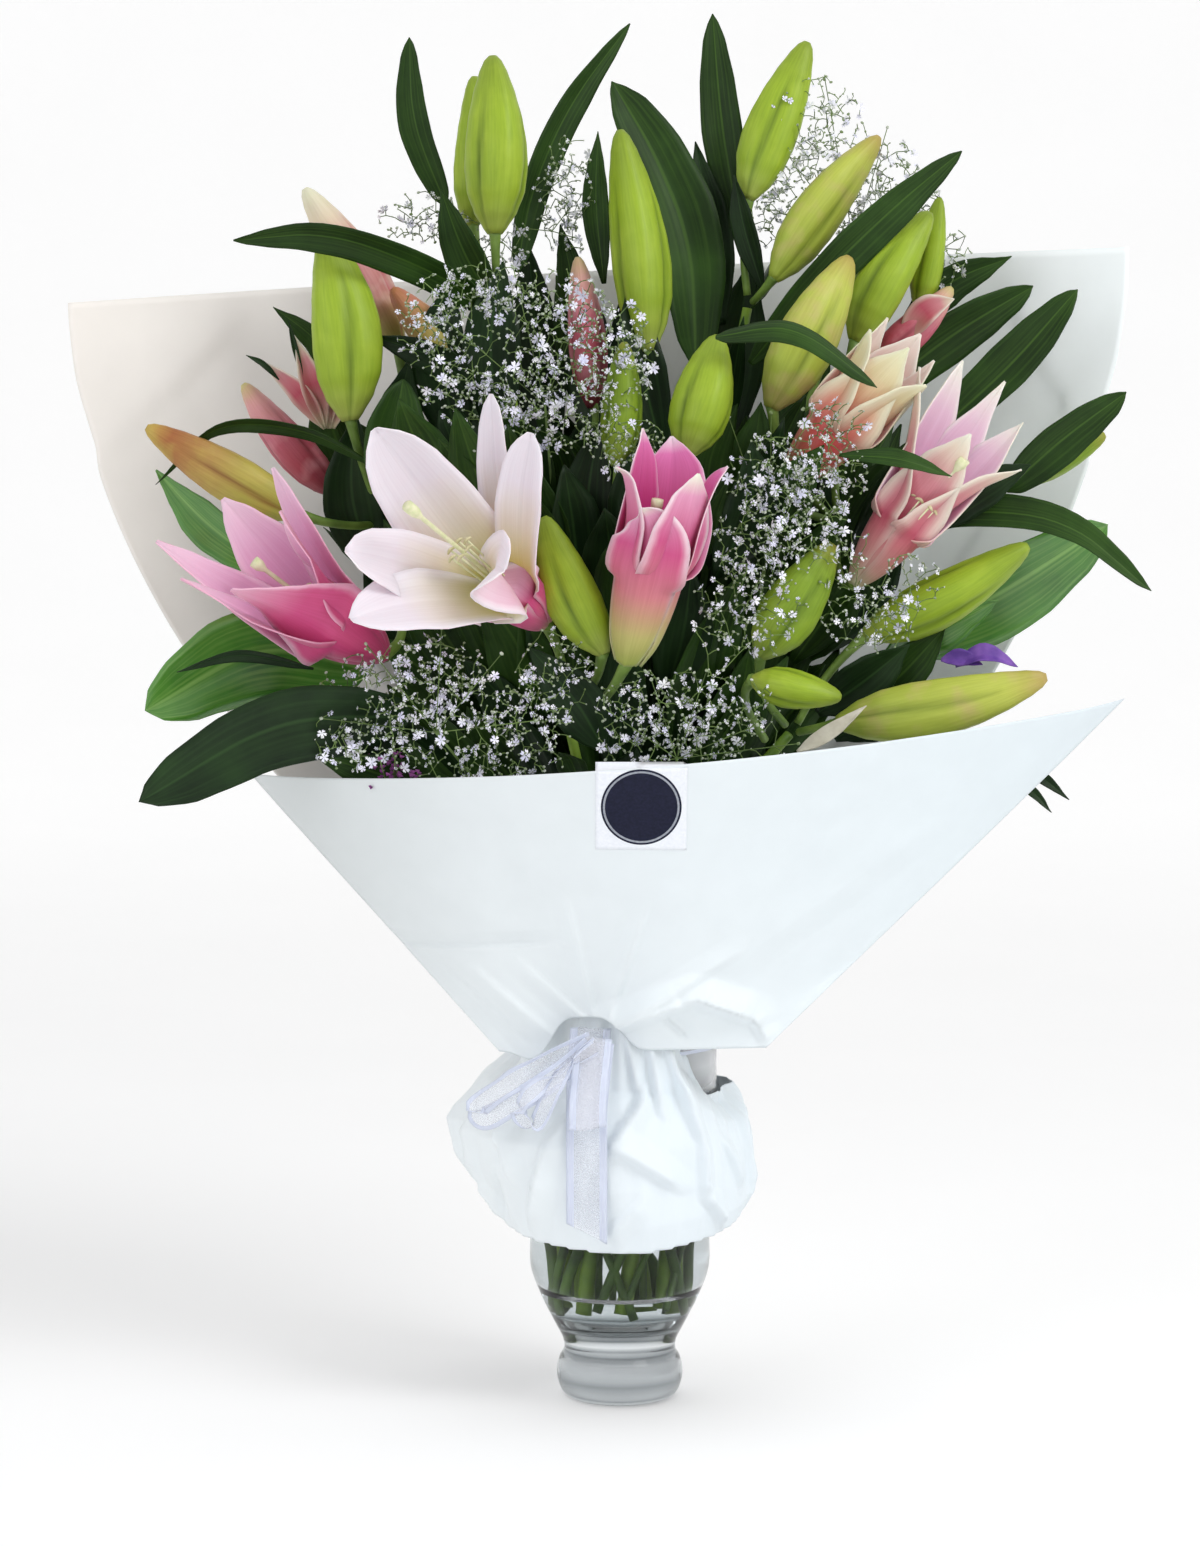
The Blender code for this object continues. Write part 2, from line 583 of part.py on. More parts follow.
def skirt_point(turn, down, inset):
    """A place on the skirt: turn in radians from +X, and the share of the way down."""
    off = math.degrees(turn) - SKIRT_NOTCH_AT
    off = abs((off + 180) % 360 - 180)
    dip = SKIRT_NOTCH * (0.5 + 0.5 * math.cos(math.pi * min(off / SKIRT_NOTCH_HALF, 1)))
    foot = SKIRT_FOOT + SKIRT_BACK_RISE * (1 + math.sin(turn)) ** 0.7
    radius = skirt_radius(down) - inset
    shift = SKIRT_SHIFT * math.sin(math.pi * down) ** 2
    height = mix(SKIRT_TOP - dip, foot, down)
    return Vector((shift + radius * math.cos(turn), radius * math.sin(turn), height))


def make_skirt():
    mesh = bmesh.new()
    turns = [2 * math.pi * i / SKIRT_SIDES for i in range(SKIRT_SIDES)]
    downs = [down for down, _ in SKIRT_OUTLINE]
    walls = [(down, 0) for down in downs] + [(down, PAPER) for down in reversed(downs)]
    rows = [[mesh.verts.new(mm(skirt_point(turn, down, inset))) for turn in turns] for down, inset in walls]
    join_rings(mesh, rows, True, lambda row, side: row >= len(downs))
    piece("paper_skirt", mesh, "paper")


def make_band():
    """The ribbon round the neck of the wrap, between the skirt and the front sheet's foot."""
    mesh = bmesh.new()
    turns = [2 * math.pi * i / SKIRT_SIDES for i in range(SKIRT_SIDES)]
    low, high = BAND_HEIGHT - BAND_WIDTH / 2, BAND_HEIGHT + BAND_WIDTH / 2
    outside = BAND_RADIUS + RIBBON
    walls = [(BAND_RADIUS, low), (outside, low), (outside, high), (BAND_RADIUS, high)]
    rows = [[mesh.verts.new(mm((r * math.cos(t), r * math.sin(t), z))) for t in turns] for r, z in walls]
    join_rings(mesh, rows, True)
    piece("ribbon_band", mesh, "ribbon")


def ribbon(name, line, width, rows):
    grid = []
    for i in range(rows + 1):
        centre, way = along(line, i / rows), heading(line, i / rows)
        side, _ = across(way)
        grid.append([centre + side * (width * (j / 2 - 0.5)) for j in range(3)])
    piece(name, slab(grid, RIBBON), "ribbon")


def tail_point(step):
    """A place on the ribbon's tail: down from the knot and over the skirt's front."""
    x = KNOT[0] + TAIL_LEAN * min(1, step / 2)
    height = mix(KNOT[2] - 3, TAIL_FOOT, step / TAIL_ROWS)
    down = (SKIRT_TOP - height) / (SKIRT_TOP - SKIRT_FOOT)
    front = -skirt_radius(min(max(down, 0), 1)) - TAIL_LIFT
    return Vector((x, min(front, KNOT[1] - TAIL_LIFT), height))


def make_bow():
    ribbon("ribbon_loop", LOOP_LINE, LOOP_WIDTH, 8)
    ribbon("ribbon_tail", [tail_point(step) for step in range(TAIL_ROWS + 1)], TAIL_WIDTH, TAIL_ROWS)


def make_seal():
    centre = front_point(SEAL_ACROSS, SEAL_UP)
    up = (front_point(SEAL_ACROSS, SEAL_UP + 0.05) - centre).normalized()
    right = (front_point(SEAL_ACROSS + 0.02, SEAL_UP) - centre).normalized()
    out = right.cross(up).normalized()
    stand = PAPER / 2 + GAP
    line = [centre + out * stand, centre + out * (stand + SEAL_THICKNESS)]
    rings = [circle(point, out, SEAL_RADIUS, SEAL_SIDES, (0.1, -0.2, 1)) for point in line]
    piece("round_seal", loft(line[0], rings, line[1]), "seal")


def main():
    for old in list(bpy.data.objects):
        bpy.data.objects.remove(old)
    make_vase()
    make_stems()
    make_sprays()
    make_water()
    make_buds()
    make_blooms()
    make_leaves()
    make_back_sheet()
    make_front_sheet()
    make_skirt()
    make_band()
    make_bow()
    make_seal()


main()
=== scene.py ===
# Pink lilies, buds, leaves and gypsophila in a clear footed vase, wrapped in white paper.
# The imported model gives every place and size; this script gives each piece its real shape and finish.
import math
import random

import bmesh
import bpy
import numpy as np
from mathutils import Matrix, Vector, noise
from mathutils.bvhtree import BVHTree


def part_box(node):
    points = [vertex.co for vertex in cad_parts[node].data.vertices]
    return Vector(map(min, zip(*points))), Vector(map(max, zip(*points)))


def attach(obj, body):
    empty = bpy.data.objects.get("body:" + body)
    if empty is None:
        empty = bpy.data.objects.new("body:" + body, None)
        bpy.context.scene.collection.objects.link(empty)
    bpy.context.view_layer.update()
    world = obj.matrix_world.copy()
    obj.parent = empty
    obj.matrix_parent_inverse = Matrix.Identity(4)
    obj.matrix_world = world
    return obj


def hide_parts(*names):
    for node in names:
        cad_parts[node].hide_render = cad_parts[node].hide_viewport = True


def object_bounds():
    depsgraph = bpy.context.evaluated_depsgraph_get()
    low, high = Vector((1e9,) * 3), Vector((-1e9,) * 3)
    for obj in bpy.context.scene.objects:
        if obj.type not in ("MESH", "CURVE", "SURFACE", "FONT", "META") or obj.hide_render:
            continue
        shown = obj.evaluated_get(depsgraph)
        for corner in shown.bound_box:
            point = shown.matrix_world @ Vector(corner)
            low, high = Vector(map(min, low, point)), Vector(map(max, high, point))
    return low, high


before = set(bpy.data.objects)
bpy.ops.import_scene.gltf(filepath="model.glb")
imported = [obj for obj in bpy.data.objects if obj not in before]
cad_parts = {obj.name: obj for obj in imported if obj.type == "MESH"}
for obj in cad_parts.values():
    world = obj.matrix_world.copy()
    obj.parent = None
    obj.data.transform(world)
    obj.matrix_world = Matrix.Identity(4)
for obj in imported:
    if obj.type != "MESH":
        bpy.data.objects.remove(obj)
cadLow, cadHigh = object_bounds()
millimetre = 0.001
bodyName = "root"
print("frame loaded:", len(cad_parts), "nodes")


def linearColour(hexCode):
    parts = [int(hexCode[i:i + 2], 16) / 255 for i in (1, 3, 5)]
    return [c / 12.92 if c <= 0.04045 else ((c + 0.055) / 1.055) ** 2.4 for c in parts] + [1.0]


def addNode(tree, kind, inputs=None, **settings):
    # a node with its settings, and its inputs as values, colours or links
    node = tree.nodes.new("ShaderNode" + kind if tree.type == "SHADER" else kind)
    for key, value in settings.items():
        if key == "stops":  # a ramp's colours, as (place, hex)
            ramp = node.color_ramp
            while len(ramp.elements) < len(value):
                ramp.elements.new(0.5)
            for element, (place, hexCode) in zip(ramp.elements, value):
                element.position = place
                element.color = linearColour(hexCode)
        else:
            setattr(node, key, value)
    for key, value in (inputs or {}).items():
        socket = node.inputs[key]
        if isinstance(value, bpy.types.NodeSocket):
            tree.links.new(value, socket)
        elif str(value).startswith("#"):
            socket.default_value = linearColour(value)
        else:
            socket.default_value = value
    return node


def newMaterial(name):
    material = bpy.data.materials.new(name)
    material.use_nodes = True
    material.node_tree.nodes.clear()
    return material, material.node_tree


def closeMaterial(material, shader):
    addNode(material.node_tree, "OutputMaterial", {"Surface": shader.outputs[0]})
    return material


def newObject(name, data):
    made = bpy.data.objects.new(name, data)
    bpy.context.scene.collection.objects.link(made)
    return made


def toMesh(name, mesh):
    data = bpy.data.meshes.new(name)
    mesh.to_mesh(data)
    mesh.free()
    return data


def allRound(count):
    # the angles of evenly spaced places round a circle
    return [2 * math.pi * k / count for k in range(count)]


def outAt(turn):
    # the level direction at an angle round the vase
    return Vector((math.cos(turn), math.sin(turn), 0))


# painted reflections: the thick foot is tinted in darker and lighter bands that stand in for the surroundings
# it reflects, as shares of the height up to footTop and their tints; painted light: above the water, between
# these two heights, the wall turns partly opaque pale grey, standing in for light showing through the glass
glassLook = {"footTop": 0.06, "mist": (0.152, 0.172), "misted": 0.4}
paintedFootReflections = [(0.0, "#8e9396"), (0.1, "#b4b9bc"), (0.18, "#7f8588"), (0.23, "#bfc5c8"), (0.34, "#dde1e3"),
              (0.4, "#7d8386"), (0.45, "#aab0b3"), (0.5, "#e4e8ea"), (0.57, "#ccd1d4"), (0.62, "#3c4346"),
              (0.67, "#959c9f"), (0.75, "#e2e6e9"), (1.0, "#e9ecef")]


def clearGlass():
    # soda-lime glass, pressed and fire-polished: clear and thick
    material, tree = newMaterial("clearSodaGlass")
    place = addNode(tree, "TexCoord").outputs["Object"]
    ripple = addNode(tree, "TexNoise", {"Vector": place, "Scale": 38.0, "Detail": 2.0})
    bump = addNode(tree, "Bump", {"Strength": 0.05, "Distance": 0.001, "Height": ripple.outputs["Fac"]})
    rough = addNode(tree, "MapRange", {"Value": ripple.outputs["Fac"], "To Min": 0.0, "To Max": 0.03})
    height = addNode(tree, "SeparateXYZ", {0: place}).outputs[2]
    # painted reflections: the foot's darker and lighter bands, by height
    low = addNode(tree, "MapRange", {"Value": height, "From Max": glassLook["footTop"]})
    tint = addNode(tree, "ValToRGB", {0: low.outputs[0]}, stops=paintedFootReflections)
    # painted light: above the water the wall turns partly opaque, showing its pale grey colour
    clear = addNode(tree, "MapRange",
                    {"Value": height, "From Min": glassLook["mist"][0], "From Max": glassLook["mist"][1],
                     "To Min": 1.0, "To Max": glassLook["misted"]})
    shader = addNode(tree, "BsdfPrincipled",
                     {"Base Color": tint.outputs[0], "Roughness": rough.outputs[0], "IOR": 1.52,
                      "Transmission Weight": clear.outputs[0], "Specular Tint": "#7c7c7c",
                      "Normal": bump.outputs[0]})
    return closeMaterial(material, shader)


def vaseWater():
    # tap water with a day's plant sap in it: a faint green tint
    material, tree = newMaterial("vaseWater")
    place = addNode(tree, "TexCoord").outputs["Object"]
    drift = addNode(tree, "TexNoise", {"Vector": place, "Scale": 20.0})
    tint = addNode(tree, "Mix", {0: drift.outputs["Fac"], 6: "#f7f9f7", 7: "#eef2ee"}, data_type="RGBA")
    shader = addNode(tree, "BsdfPrincipled", {"Base Color": tint.outputs[2], "Roughness": 0.0, "IOR": 1.333,
                                              "Transmission Weight": 1.0, "Specular Tint": "#6c6c6c"})
    return closeMaterial(material, shader)


def coatedPaper(name, stops):
    # machine-finished white wrapping paper, 80 g per square metre: smooth, with faint fibre cloudiness;
    # the stops run from left to right across the wrap and are painted light and shade
    material, tree = newMaterial(name)
    place = addNode(tree, "TexCoord").outputs["Object"]
    side = addNode(tree, "SeparateXYZ", {0: place}).outputs[0]
    # painted light and shade: the colour steps from left to right across the wrap
    acrossWrapPaintedShade = addNode(tree, "MapRange", {"Value": side, "From Min": cadLow.x, "From Max": cadHigh.x})
    colour = addNode(tree, "ValToRGB", {0: acrossWrapPaintedShade.outputs[0]}, stops=stops)
    cloud = addNode(tree, "TexNoise", {"Vector": place, "Scale": 60.0, "Detail": 4.0})
    shade = addNode(tree, "MapRange", {"Value": cloud.outputs["Fac"], "To Min": 0.965, "To Max": 1.02})
    toned = addNode(tree, "Mix", {0: 1.0, 6: colour.outputs[0], 7: shade.outputs[0]}, data_type="RGBA",
                    blend_type="MULTIPLY")
    fibres = addNode(tree, "TexNoise", {"Vector": place, "Scale": 900.0, "Detail": 3.0})
    bump = addNode(tree, "Bump", {"Strength": 0.12, "Distance": 0.0002, "Height": fibres.outputs["Fac"]})
    shader = addNode(tree, "BsdfPrincipled", {"Base Color": toned.outputs[2], "Roughness": 0.62,
                                              "Normal": bump.outputs[0], "Specular IOR Level": 0.35})
    return closeMaterial(material, shader)


def sheerOrganza():
    # nylon organza: a fine open weave that the paper shows through, with a silky sheen
    material, tree = newMaterial("sheerOrganza")
    weave = addNode(tree, "UVMap", uv_map="UVMap").outputs[0]
    # threads drawn about 0.8 mm apart across the ribbon, far coarser than real, so that they show
    wide = addNode(tree, "Mapping", {"Vector": weave, "Scale": (24.0, 160.0, 1.0)})
    threads = addNode(tree, "TexNoise", {"Vector": wide.outputs[0], "Scale": 1.0, "Detail": 2.0})
    cover = addNode(tree, "MapRange", {"Value": threads.outputs["Fac"], "From Min": 0.3, "From Max": 0.7,
                                       "To Min": 0.16, "To Max": 0.34})
    shader = addNode(tree, "BsdfPrincipled", {"Base Color": "#eceef7", "Roughness": 0.42, "Sheen Weight": 0.6,
                                              "Sheen Roughness": 0.3, "Alpha": cover.outputs[0]})
    return closeMaterial(material, shader)


def satinEdge():
    # the ribbon's woven satin border: pale lilac, its long floats shining along the ribbon
    material, tree = newMaterial("lilacSatinEdge")
    weave = addNode(tree, "UVMap", uv_map="UVMap").outputs[0]
    floats = addNode(tree, "Mapping", {"Vector": weave, "Scale": (60.0, 4.0, 1.0)})
    lines = addNode(tree, "TexNoise", {"Vector": floats.outputs[0], "Scale": 3.0, "Detail": 2.0})
    colour = addNode(tree, "ValToRGB", {0: lines.outputs["Fac"]}, stops=[(0.3, "#ccd2ea"), (0.7, "#e6edf8")])
    bump = addNode(tree, "Bump", {"Strength": 0.2, "Distance": 0.0002, "Height": lines.outputs["Fac"]})
    shader = addNode(tree, "BsdfPrincipled", {"Base Color": colour.outputs[0], "Roughness": 0.3,
                                              "Sheen Weight": 0.3, "Alpha": 0.8, "Normal": bump.outputs[0]})
    return closeMaterial(material, shader)


def sealInk(name, base, speck):
    # offset-printed sticker paper under a soft varnish
    material, tree = newMaterial(name)
    place = addNode(tree, "TexCoord").outputs["Object"]
    grain = addNode(tree, "TexNoise", {"Vector": place, "Scale": 700.0, "Detail": 2.0})
    colour = addNode(tree, "ValToRGB", {0: grain.outputs["Fac"]}, stops=[(0.3, base), (0.75, speck)])
    bump = addNode(tree, "Bump", {"Strength": 0.08, "Distance": 0.0001, "Height": grain.outputs["Fac"]})
    shader = addNode(tree, "BsdfPrincipled", {"Base Color": colour.outputs[0], "Roughness": 0.5,
                                              "Specular IOR Level": 0.15, "Normal": bump.outputs[0]})
    return closeMaterial(material, shader)


def budSkin(name, look):
    # a closed lily bud: three firm outer petals with pale ribs, and darker seams where they meet,
    # partly the bud's own colour and partly painted shade in the grooves
    material, tree = newMaterial(name)
    uv = addNode(tree, "UVMap", uv_map="UVMap").outputs[0]
    length = addNode(tree, "SeparateXYZ", {0: uv}).outputs[1]
    place = addNode(tree, "TexCoord").outputs["Object"]
    seam = addNode(tree, "Attribute", attribute_name="shade").outputs["Fac"]
    along = addNode(tree, "ValToRGB", {0: length}, stops=look["along"])
    mottle = addNode(tree, "TexNoise", {"Vector": place, "Scale": 55.0, "Detail": 3.0})
    blushAmount = addNode(tree, "MapRange", {"Value": mottle.outputs["Fac"], "From Min": 0.48,
                                             "From Max": 0.68, "To Max": look["blushShare"]})
    blushed = addNode(tree, "Mix", {0: blushAmount.outputs[0], 6: along.outputs[0], 7: look["blush"]},
                      data_type="RGBA")
    # partly painted shade: the seam colour darkens the grooves between the petals
    seamAmount = addNode(tree, "MapRange", {"Value": seam, "To Max": 0.85})
    seamed = addNode(tree, "Mix", {0: seamAmount.outputs[0], 6: blushed.outputs[2], 7: look["seam"]},
                     data_type="RGBA")
    # veins about 1 mm apart round the bud
    stretched = addNode(tree, "Mapping", {"Vector": uv, "Scale": (70.0, 5.0, 1.0)})
    veins = addNode(tree, "TexNoise", {"Vector": stretched.outputs[0], "Scale": 1.0, "Detail": 3.0})
    veined = addNode(tree, "Mix", {0: 0.35, 6: seamed.outputs[2], 7: veins.outputs["Fac"]}, data_type="RGBA",
                     blend_type="SOFT_LIGHT")
    bump = addNode(tree, "Bump", {"Strength": 0.25, "Distance": 0.0004, "Height": veins.outputs["Fac"]})
    shader = addNode(tree, "BsdfPrincipled",
                     {"Base Color": veined.outputs[2], "Roughness": 0.46, "Specular IOR Level": 0.3,
                      "Subsurface Weight": 0.12, "Subsurface Radius": (0.003, 0.004, 0.001),
                      "Subsurface Scale": 1.0, "Normal": bump.outputs[0]})
    return closeMaterial(material, shader)


def petalSkin(name, look):
    # lily petal: a thin fleshy blade, deeper coloured along its middle, fading to a white edge
    material, tree = newMaterial(name)
    uv = addNode(tree, "UVMap", uv_map="UVMap").outputs[0]
    parts = addNode(tree, "SeparateXYZ", {0: uv})
    side, length = parts.outputs[0], parts.outputs[1]
    offMiddle = addNode(tree, "Math", {0: side, 1: 2.0, 2: -1.0}, operation="MULTIPLY_ADD")
    fromMiddle = addNode(tree, "Math", {0: offMiddle.outputs[0]}, operation="ABSOLUTE")
    place = addNode(tree, "TexCoord").outputs["Object"]
    cloud = addNode(tree, "TexNoise", {"Vector": place, "Scale": 45.0, "Detail": 3.0})
    wander = addNode(tree, "Math", {0: cloud.outputs["Fac"], 1: 0.3, 2: -0.15}, operation="MULTIPLY_ADD")
    edgePlace = addNode(tree, "Math", {0: fromMiddle.outputs[0], 1: wander.outputs[0]}, operation="ADD")
    along = addNode(tree, "ValToRGB", {0: length}, stops=look["along"])
    edge = addNode(tree, "MapRange",
                   {"Value": edgePlace.outputs[0], "From Min": look["edgeFrom"], "From Max": 1.0,
                    "To Max": look["edgeShare"]}, interpolation_type="SMOOTHSTEP")
    beyondTube = addNode(tree, "MapRange",
                         {"Value": length, "From Min": 0.3, "From Max": 0.7, "To Min": 0.25})
    edgeAmount = addNode(tree, "Math", {0: edge.outputs[0], 1: beyondTube.outputs[0]}, operation="MULTIPLY")
    edged = addNode(tree, "Mix", {0: edgeAmount.outputs[0], 6: along.outputs[0], 7: look["edge"]},
                    data_type="RGBA")
    # veins about 1 mm apart across the petal
    stretched = addNode(tree, "Mapping", {"Vector": uv, "Scale": (34.0, 3.0, 1.0)})
    veins = addNode(tree, "TexNoise", {"Vector": stretched.outputs[0], "Scale": 1.0, "Detail": 3.0})
    veined = addNode(tree, "Mix", {0: 0.3, 6: edged.outputs[2], 7: veins.outputs["Fac"]}, data_type="RGBA",
                     blend_type="SOFT_LIGHT")
    bump = addNode(tree, "Bump", {"Strength": 0.25, "Distance": 0.0004, "Height": veins.outputs["Fac"]})
    shader = addNode(tree, "BsdfPrincipled",
                     {"Base Color": veined.outputs[2], "Roughness": 0.5, "Subsurface Weight": 0.2,
                      "Subsurface Radius": (0.006, 0.003, 0.003), "Subsurface Scale": 1.0,
                      "Sheen Weight": 0.15, "Normal": bump.outputs[0]})
    return closeMaterial(material, shader)


def leafSkin(name, look):
    # a waxy leaf: parallel veins, a paler middle rib and a soft shine
    material, tree = newMaterial(name)
    uv = addNode(tree, "UVMap", uv_map="UVMap").outputs[0]
    parts = addNode(tree, "SeparateXYZ", {0: uv})
    offMiddle = addNode(tree, "Math", {0: parts.outputs[0], 1: 2.0, 2: -1.0}, operation="MULTIPLY_ADD")
    fromMiddle = addNode(tree, "Math", {0: offMiddle.outputs[0]}, operation="ABSOLUTE")
    rib = addNode(tree, "MapRange", {"Value": fromMiddle.outputs[0], "From Min": 0.0, "From Max": 0.09,
                                     "To Min": 0.55, "To Max": 0.0}, interpolation_type="SMOOTHSTEP")
    place = addNode(tree, "TexCoord").outputs["Object"]
    patch = addNode(tree, "TexNoise", {"Vector": place, "Scale": 26.0, "Detail": 4.0})
    ground = addNode(tree, "ValToRGB", {0: patch.outputs["Fac"]}, stops=look["ground"])
    stretched = addNode(tree, "Mapping", {"Vector": uv, "Scale": (look["veins"], 1.6, 1.0)})
    veins = addNode(tree, "TexNoise", {"Vector": stretched.outputs[0], "Scale": 1.0, "Detail": 2.0})
    veinAmount = addNode(tree, "MapRange", {"Value": veins.outputs["Fac"], "From Min": 0.45, "From Max": 0.7,
                                            "To Max": look["veinShare"]})
    veined = addNode(tree, "Mix", {0: veinAmount.outputs[0], 6: ground.outputs[0], 7: look["vein"]},
                     data_type="RGBA")
    ribbed = addNode(tree, "Mix", {0: rib.outputs[0], 6: veined.outputs[2], 7: look["vein"]},
                     data_type="RGBA")
    bump = addNode(tree, "Bump", {"Strength": 0.3, "Distance": 0.0004, "Height": veins.outputs["Fac"]})
    shader = addNode(tree, "BsdfPrincipled",
                     {"Base Color": ribbed.outputs[2], "Roughness": look["roughness"],
                      "Normal": bump.outputs[0], "Specular IOR Level": look["shine"],
                      "Coat Weight": look["coat"], "Coat Roughness": 0.25})
    return closeMaterial(material, shader)


def plantSkin(name, stops, scale, roughness):
    # stems, florets and other small plant parts: two tones that drift into each other
    material, tree = newMaterial(name)
    place = addNode(tree, "TexCoord").outputs["Object"]
    drift = addNode(tree, "TexNoise", {"Vector": place, "Scale": scale, "Detail": 3.0})
    colour = addNode(tree, "ValToRGB", {0: drift.outputs["Fac"]}, stops=stops)
    bump = addNode(tree, "Bump", {"Strength": 0.2, "Distance": 0.0003, "Height": drift.outputs["Fac"]})
    shader = addNode(tree, "BsdfPrincipled",
                     {"Base Color": colour.outputs[0], "Roughness": roughness, "Normal": bump.outputs[0]})
    return closeMaterial(material, shader)


def wholeMesh(nodeName):
    # a merged copy of a CAD node, its flat faces made whole again
    mesh = bmesh.new()
    mesh.from_mesh(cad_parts[nodeName].data)
    bmesh.ops.remove_doubles(mesh, verts=mesh.verts, dist=1e-5)
    bmesh.ops.dissolve_limit(mesh, angle_limit=math.radians(0.2), verts=mesh.verts, edges=mesh.edges)
    mesh.verts.ensure_lookup_table()
    mesh.verts.index_update()
    return mesh


def roundCaps(mesh):
    # the flat round ends of tubes, as (middle, radius, point numbers)
    caps = []
    for face in mesh.faces:
        middle = sum((v.co for v in face.verts), Vector()) / len(face.verts)
        spans = [(v.co - middle).length for v in face.verts]
        if len(face.verts) > 4 and max(spans) - min(spans) < 3e-5:
            caps.append((middle, spans[0], [v.index for v in face.verts]))
    return caps


class Outline:
    # a lofted CAD node ring by ring, from its base to its tip: ring points, ring centres and ring sizes
    def __init__(self, nodeName, near):
        mesh = wholeMesh(nodeName)
        neighbours = [[edge.other_vert(v).index for edge in v.link_edges] for v in mesh.verts]
        points = [v.co.copy() for v in mesh.verts]
        caps = roundCaps(mesh)
        self.ends = sorted([middle for middle, _, _ in caps], key=lambda p: p.z)
        mesh.free()
        if caps:
            layer = min(caps, key=lambda cap: (cap[0] - near).length)[2]
        else:  # a blade: its two ends are its farthest points
            centre = sum(points, Vector()) / len(points)
            first = max(range(len(points)), key=lambda i: (points[i] - centre).length)
            last = max(range(len(points)), key=lambda i: (points[i] - points[first]).length)
            layer = [min((first, last), key=lambda i: (points[i] - near).length)]
        seen = set(layer)
        self.rings = [[points[i] for i in layer]]
        while layer:
            layer = sorted({n for i in layer for n in neighbours[i]} - seen)
            seen |= set(layer)
            if layer:
                self.rings.append([points[i] for i in layer])
        self.centres = [sum(ring, Vector()) / len(ring) for ring in self.rings]
        self.sizes = [max((p - c).length for p in ring) for ring, c in zip(self.rings, self.centres)]


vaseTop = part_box("glass_vase")[1].z
tie = Vector((0, 0, vaseTop + 25 * millimetre))  # where the ribbon draws the stems together


def nodePoints(nodeName):
    return np.array([v.co[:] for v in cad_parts[nodeName].data.vertices])


def farthest(points, direction):
    return Vector(points[np.argmax(points @ np.array(direction, float))])


def along(points, share):
    # a place on a smooth curve through the points
    spans = len(points) - 1
    span = min(int(share * spans), spans - 1)
    t = share * spans - span
    p1, p2 = points[span], points[span + 1]
    p0 = points[span - 1] if span > 0 else p1 * 2 - p2
    p3 = points[span + 2] if span + 2 <= spans else p2 * 2 - p1
    return 0.5 * (2 * p1 + (p2 - p0) * t + (2 * p0 - 5 * p1 + 4 * p2 - p3) * t * t
                  + (3 * p1 - p0 - 3 * p2 + p3) * t ** 3)


def heading(points, share):
    step = 0.01
    return (along(points, min(share + step, 1)) - along(points, max(share - step, 0))).normalized()


def between(table, share):
    # the height of a broken line through (place, height) points, eased at its corners
    for (a, low), (b, high) in zip(table, table[1:]):
        if share <= b:
            t = (share - a) / (b - a)
            return low + (high - low) * (t * t * (3 - 2 * t) * 0.35 + t * 0.65)
    return table[-1][1]


def sideways(direction, facing):
    side = direction.cross(facing).normalized()
    return side, side.cross(direction)


def startMesh():
    mesh = bmesh.new()
    mesh.loops.layers.uv.new("UVMap")
    mesh.verts.layers.float.new("shade")
    return mesh


def addGrid(mesh, rows, wrap=False, slotIndex=0, shades=None, startCap=None, endCap=None, slotRule=None):
    # a sheet of faces over rows of points, closed round when wrap is set, with a UV map from 0 to 1 both ways
    uv = mesh.loops.layers.uv["UVMap"]
    shade = mesh.verts.layers.float["shade"]
    grid = []
    for i, row in enumerate(rows):
        line = [mesh.verts.new(point) for point in row]
        for j, vert in enumerate(line):
            vert[shade] = shades[i][j] if shades else 0.0
        grid.append(line)
    count = len(rows[0])
    spans = count if wrap else count - 1
    for i in range(len(rows) - 1):
        for j in range(spans):
            k = (j + 1) % count
            face = mesh.faces.new((grid[i][j], grid[i][k], grid[i + 1][k], grid[i + 1][j]))
            face.smooth = True
            face.material_index = slotRule(i, j) if slotRule else slotIndex
            corners = ((j, i), (j + 1, i), (j + 1, i + 1), (j, i + 1))
            for loop, (a, b) in zip(face.loops, corners):
                loop[uv].uv = (a / spans, b / (len(rows) - 1))
    for cap, line, height, ahead, behind in ((startCap, grid[0], 0.0, 1, 0), (endCap, grid[-1], 1.0, 0, 1)):
        if cap is None:
            continue
        pole = mesh.verts.new(cap)
        for j in range(spans):
            face = mesh.faces.new((pole, line[(j + ahead) % count], line[(j + behind) % count]))
            face.smooth = True
            face.material_index = slotIndex
            for loop, a in zip(face.loops, (j + 0.5, j + ahead, j + behind)):
                loop[uv].uv = (a / spans, height)
    return grid


def addTube(mesh, points, radiusAt, sides=10, rows=24, slotIndex=0):
    # a round tube along a smooth curve, closed at both ends
    facing = Vector((0.2, -1, 0.13))
    rings = []
    for i in range(rows + 1):
        share = i / rows
        side, front = sideways(heading(points, share), facing)
        centre, radius = along(points, share), radiusAt(share)
        rings.append([centre + side * (radius * math.cos(t)) + front * (radius * math.sin(t))
                      for t in allRound(sides)])
    addGrid(mesh, rings, True, slotIndex, None, points[0], points[-1])


def finishPiece(name, mesh, materials, nodes=(), recalculate=True):
    if recalculate:
        bmesh.ops.recalc_face_normals(mesh, faces=mesh.faces)
    data = toMesh(name, mesh)
    for material in materials:
        data.materials.append(material)
    piece = newObject(name, data)
    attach(piece, bodyName)
    if nodes:
        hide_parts(*nodes)
    return piece


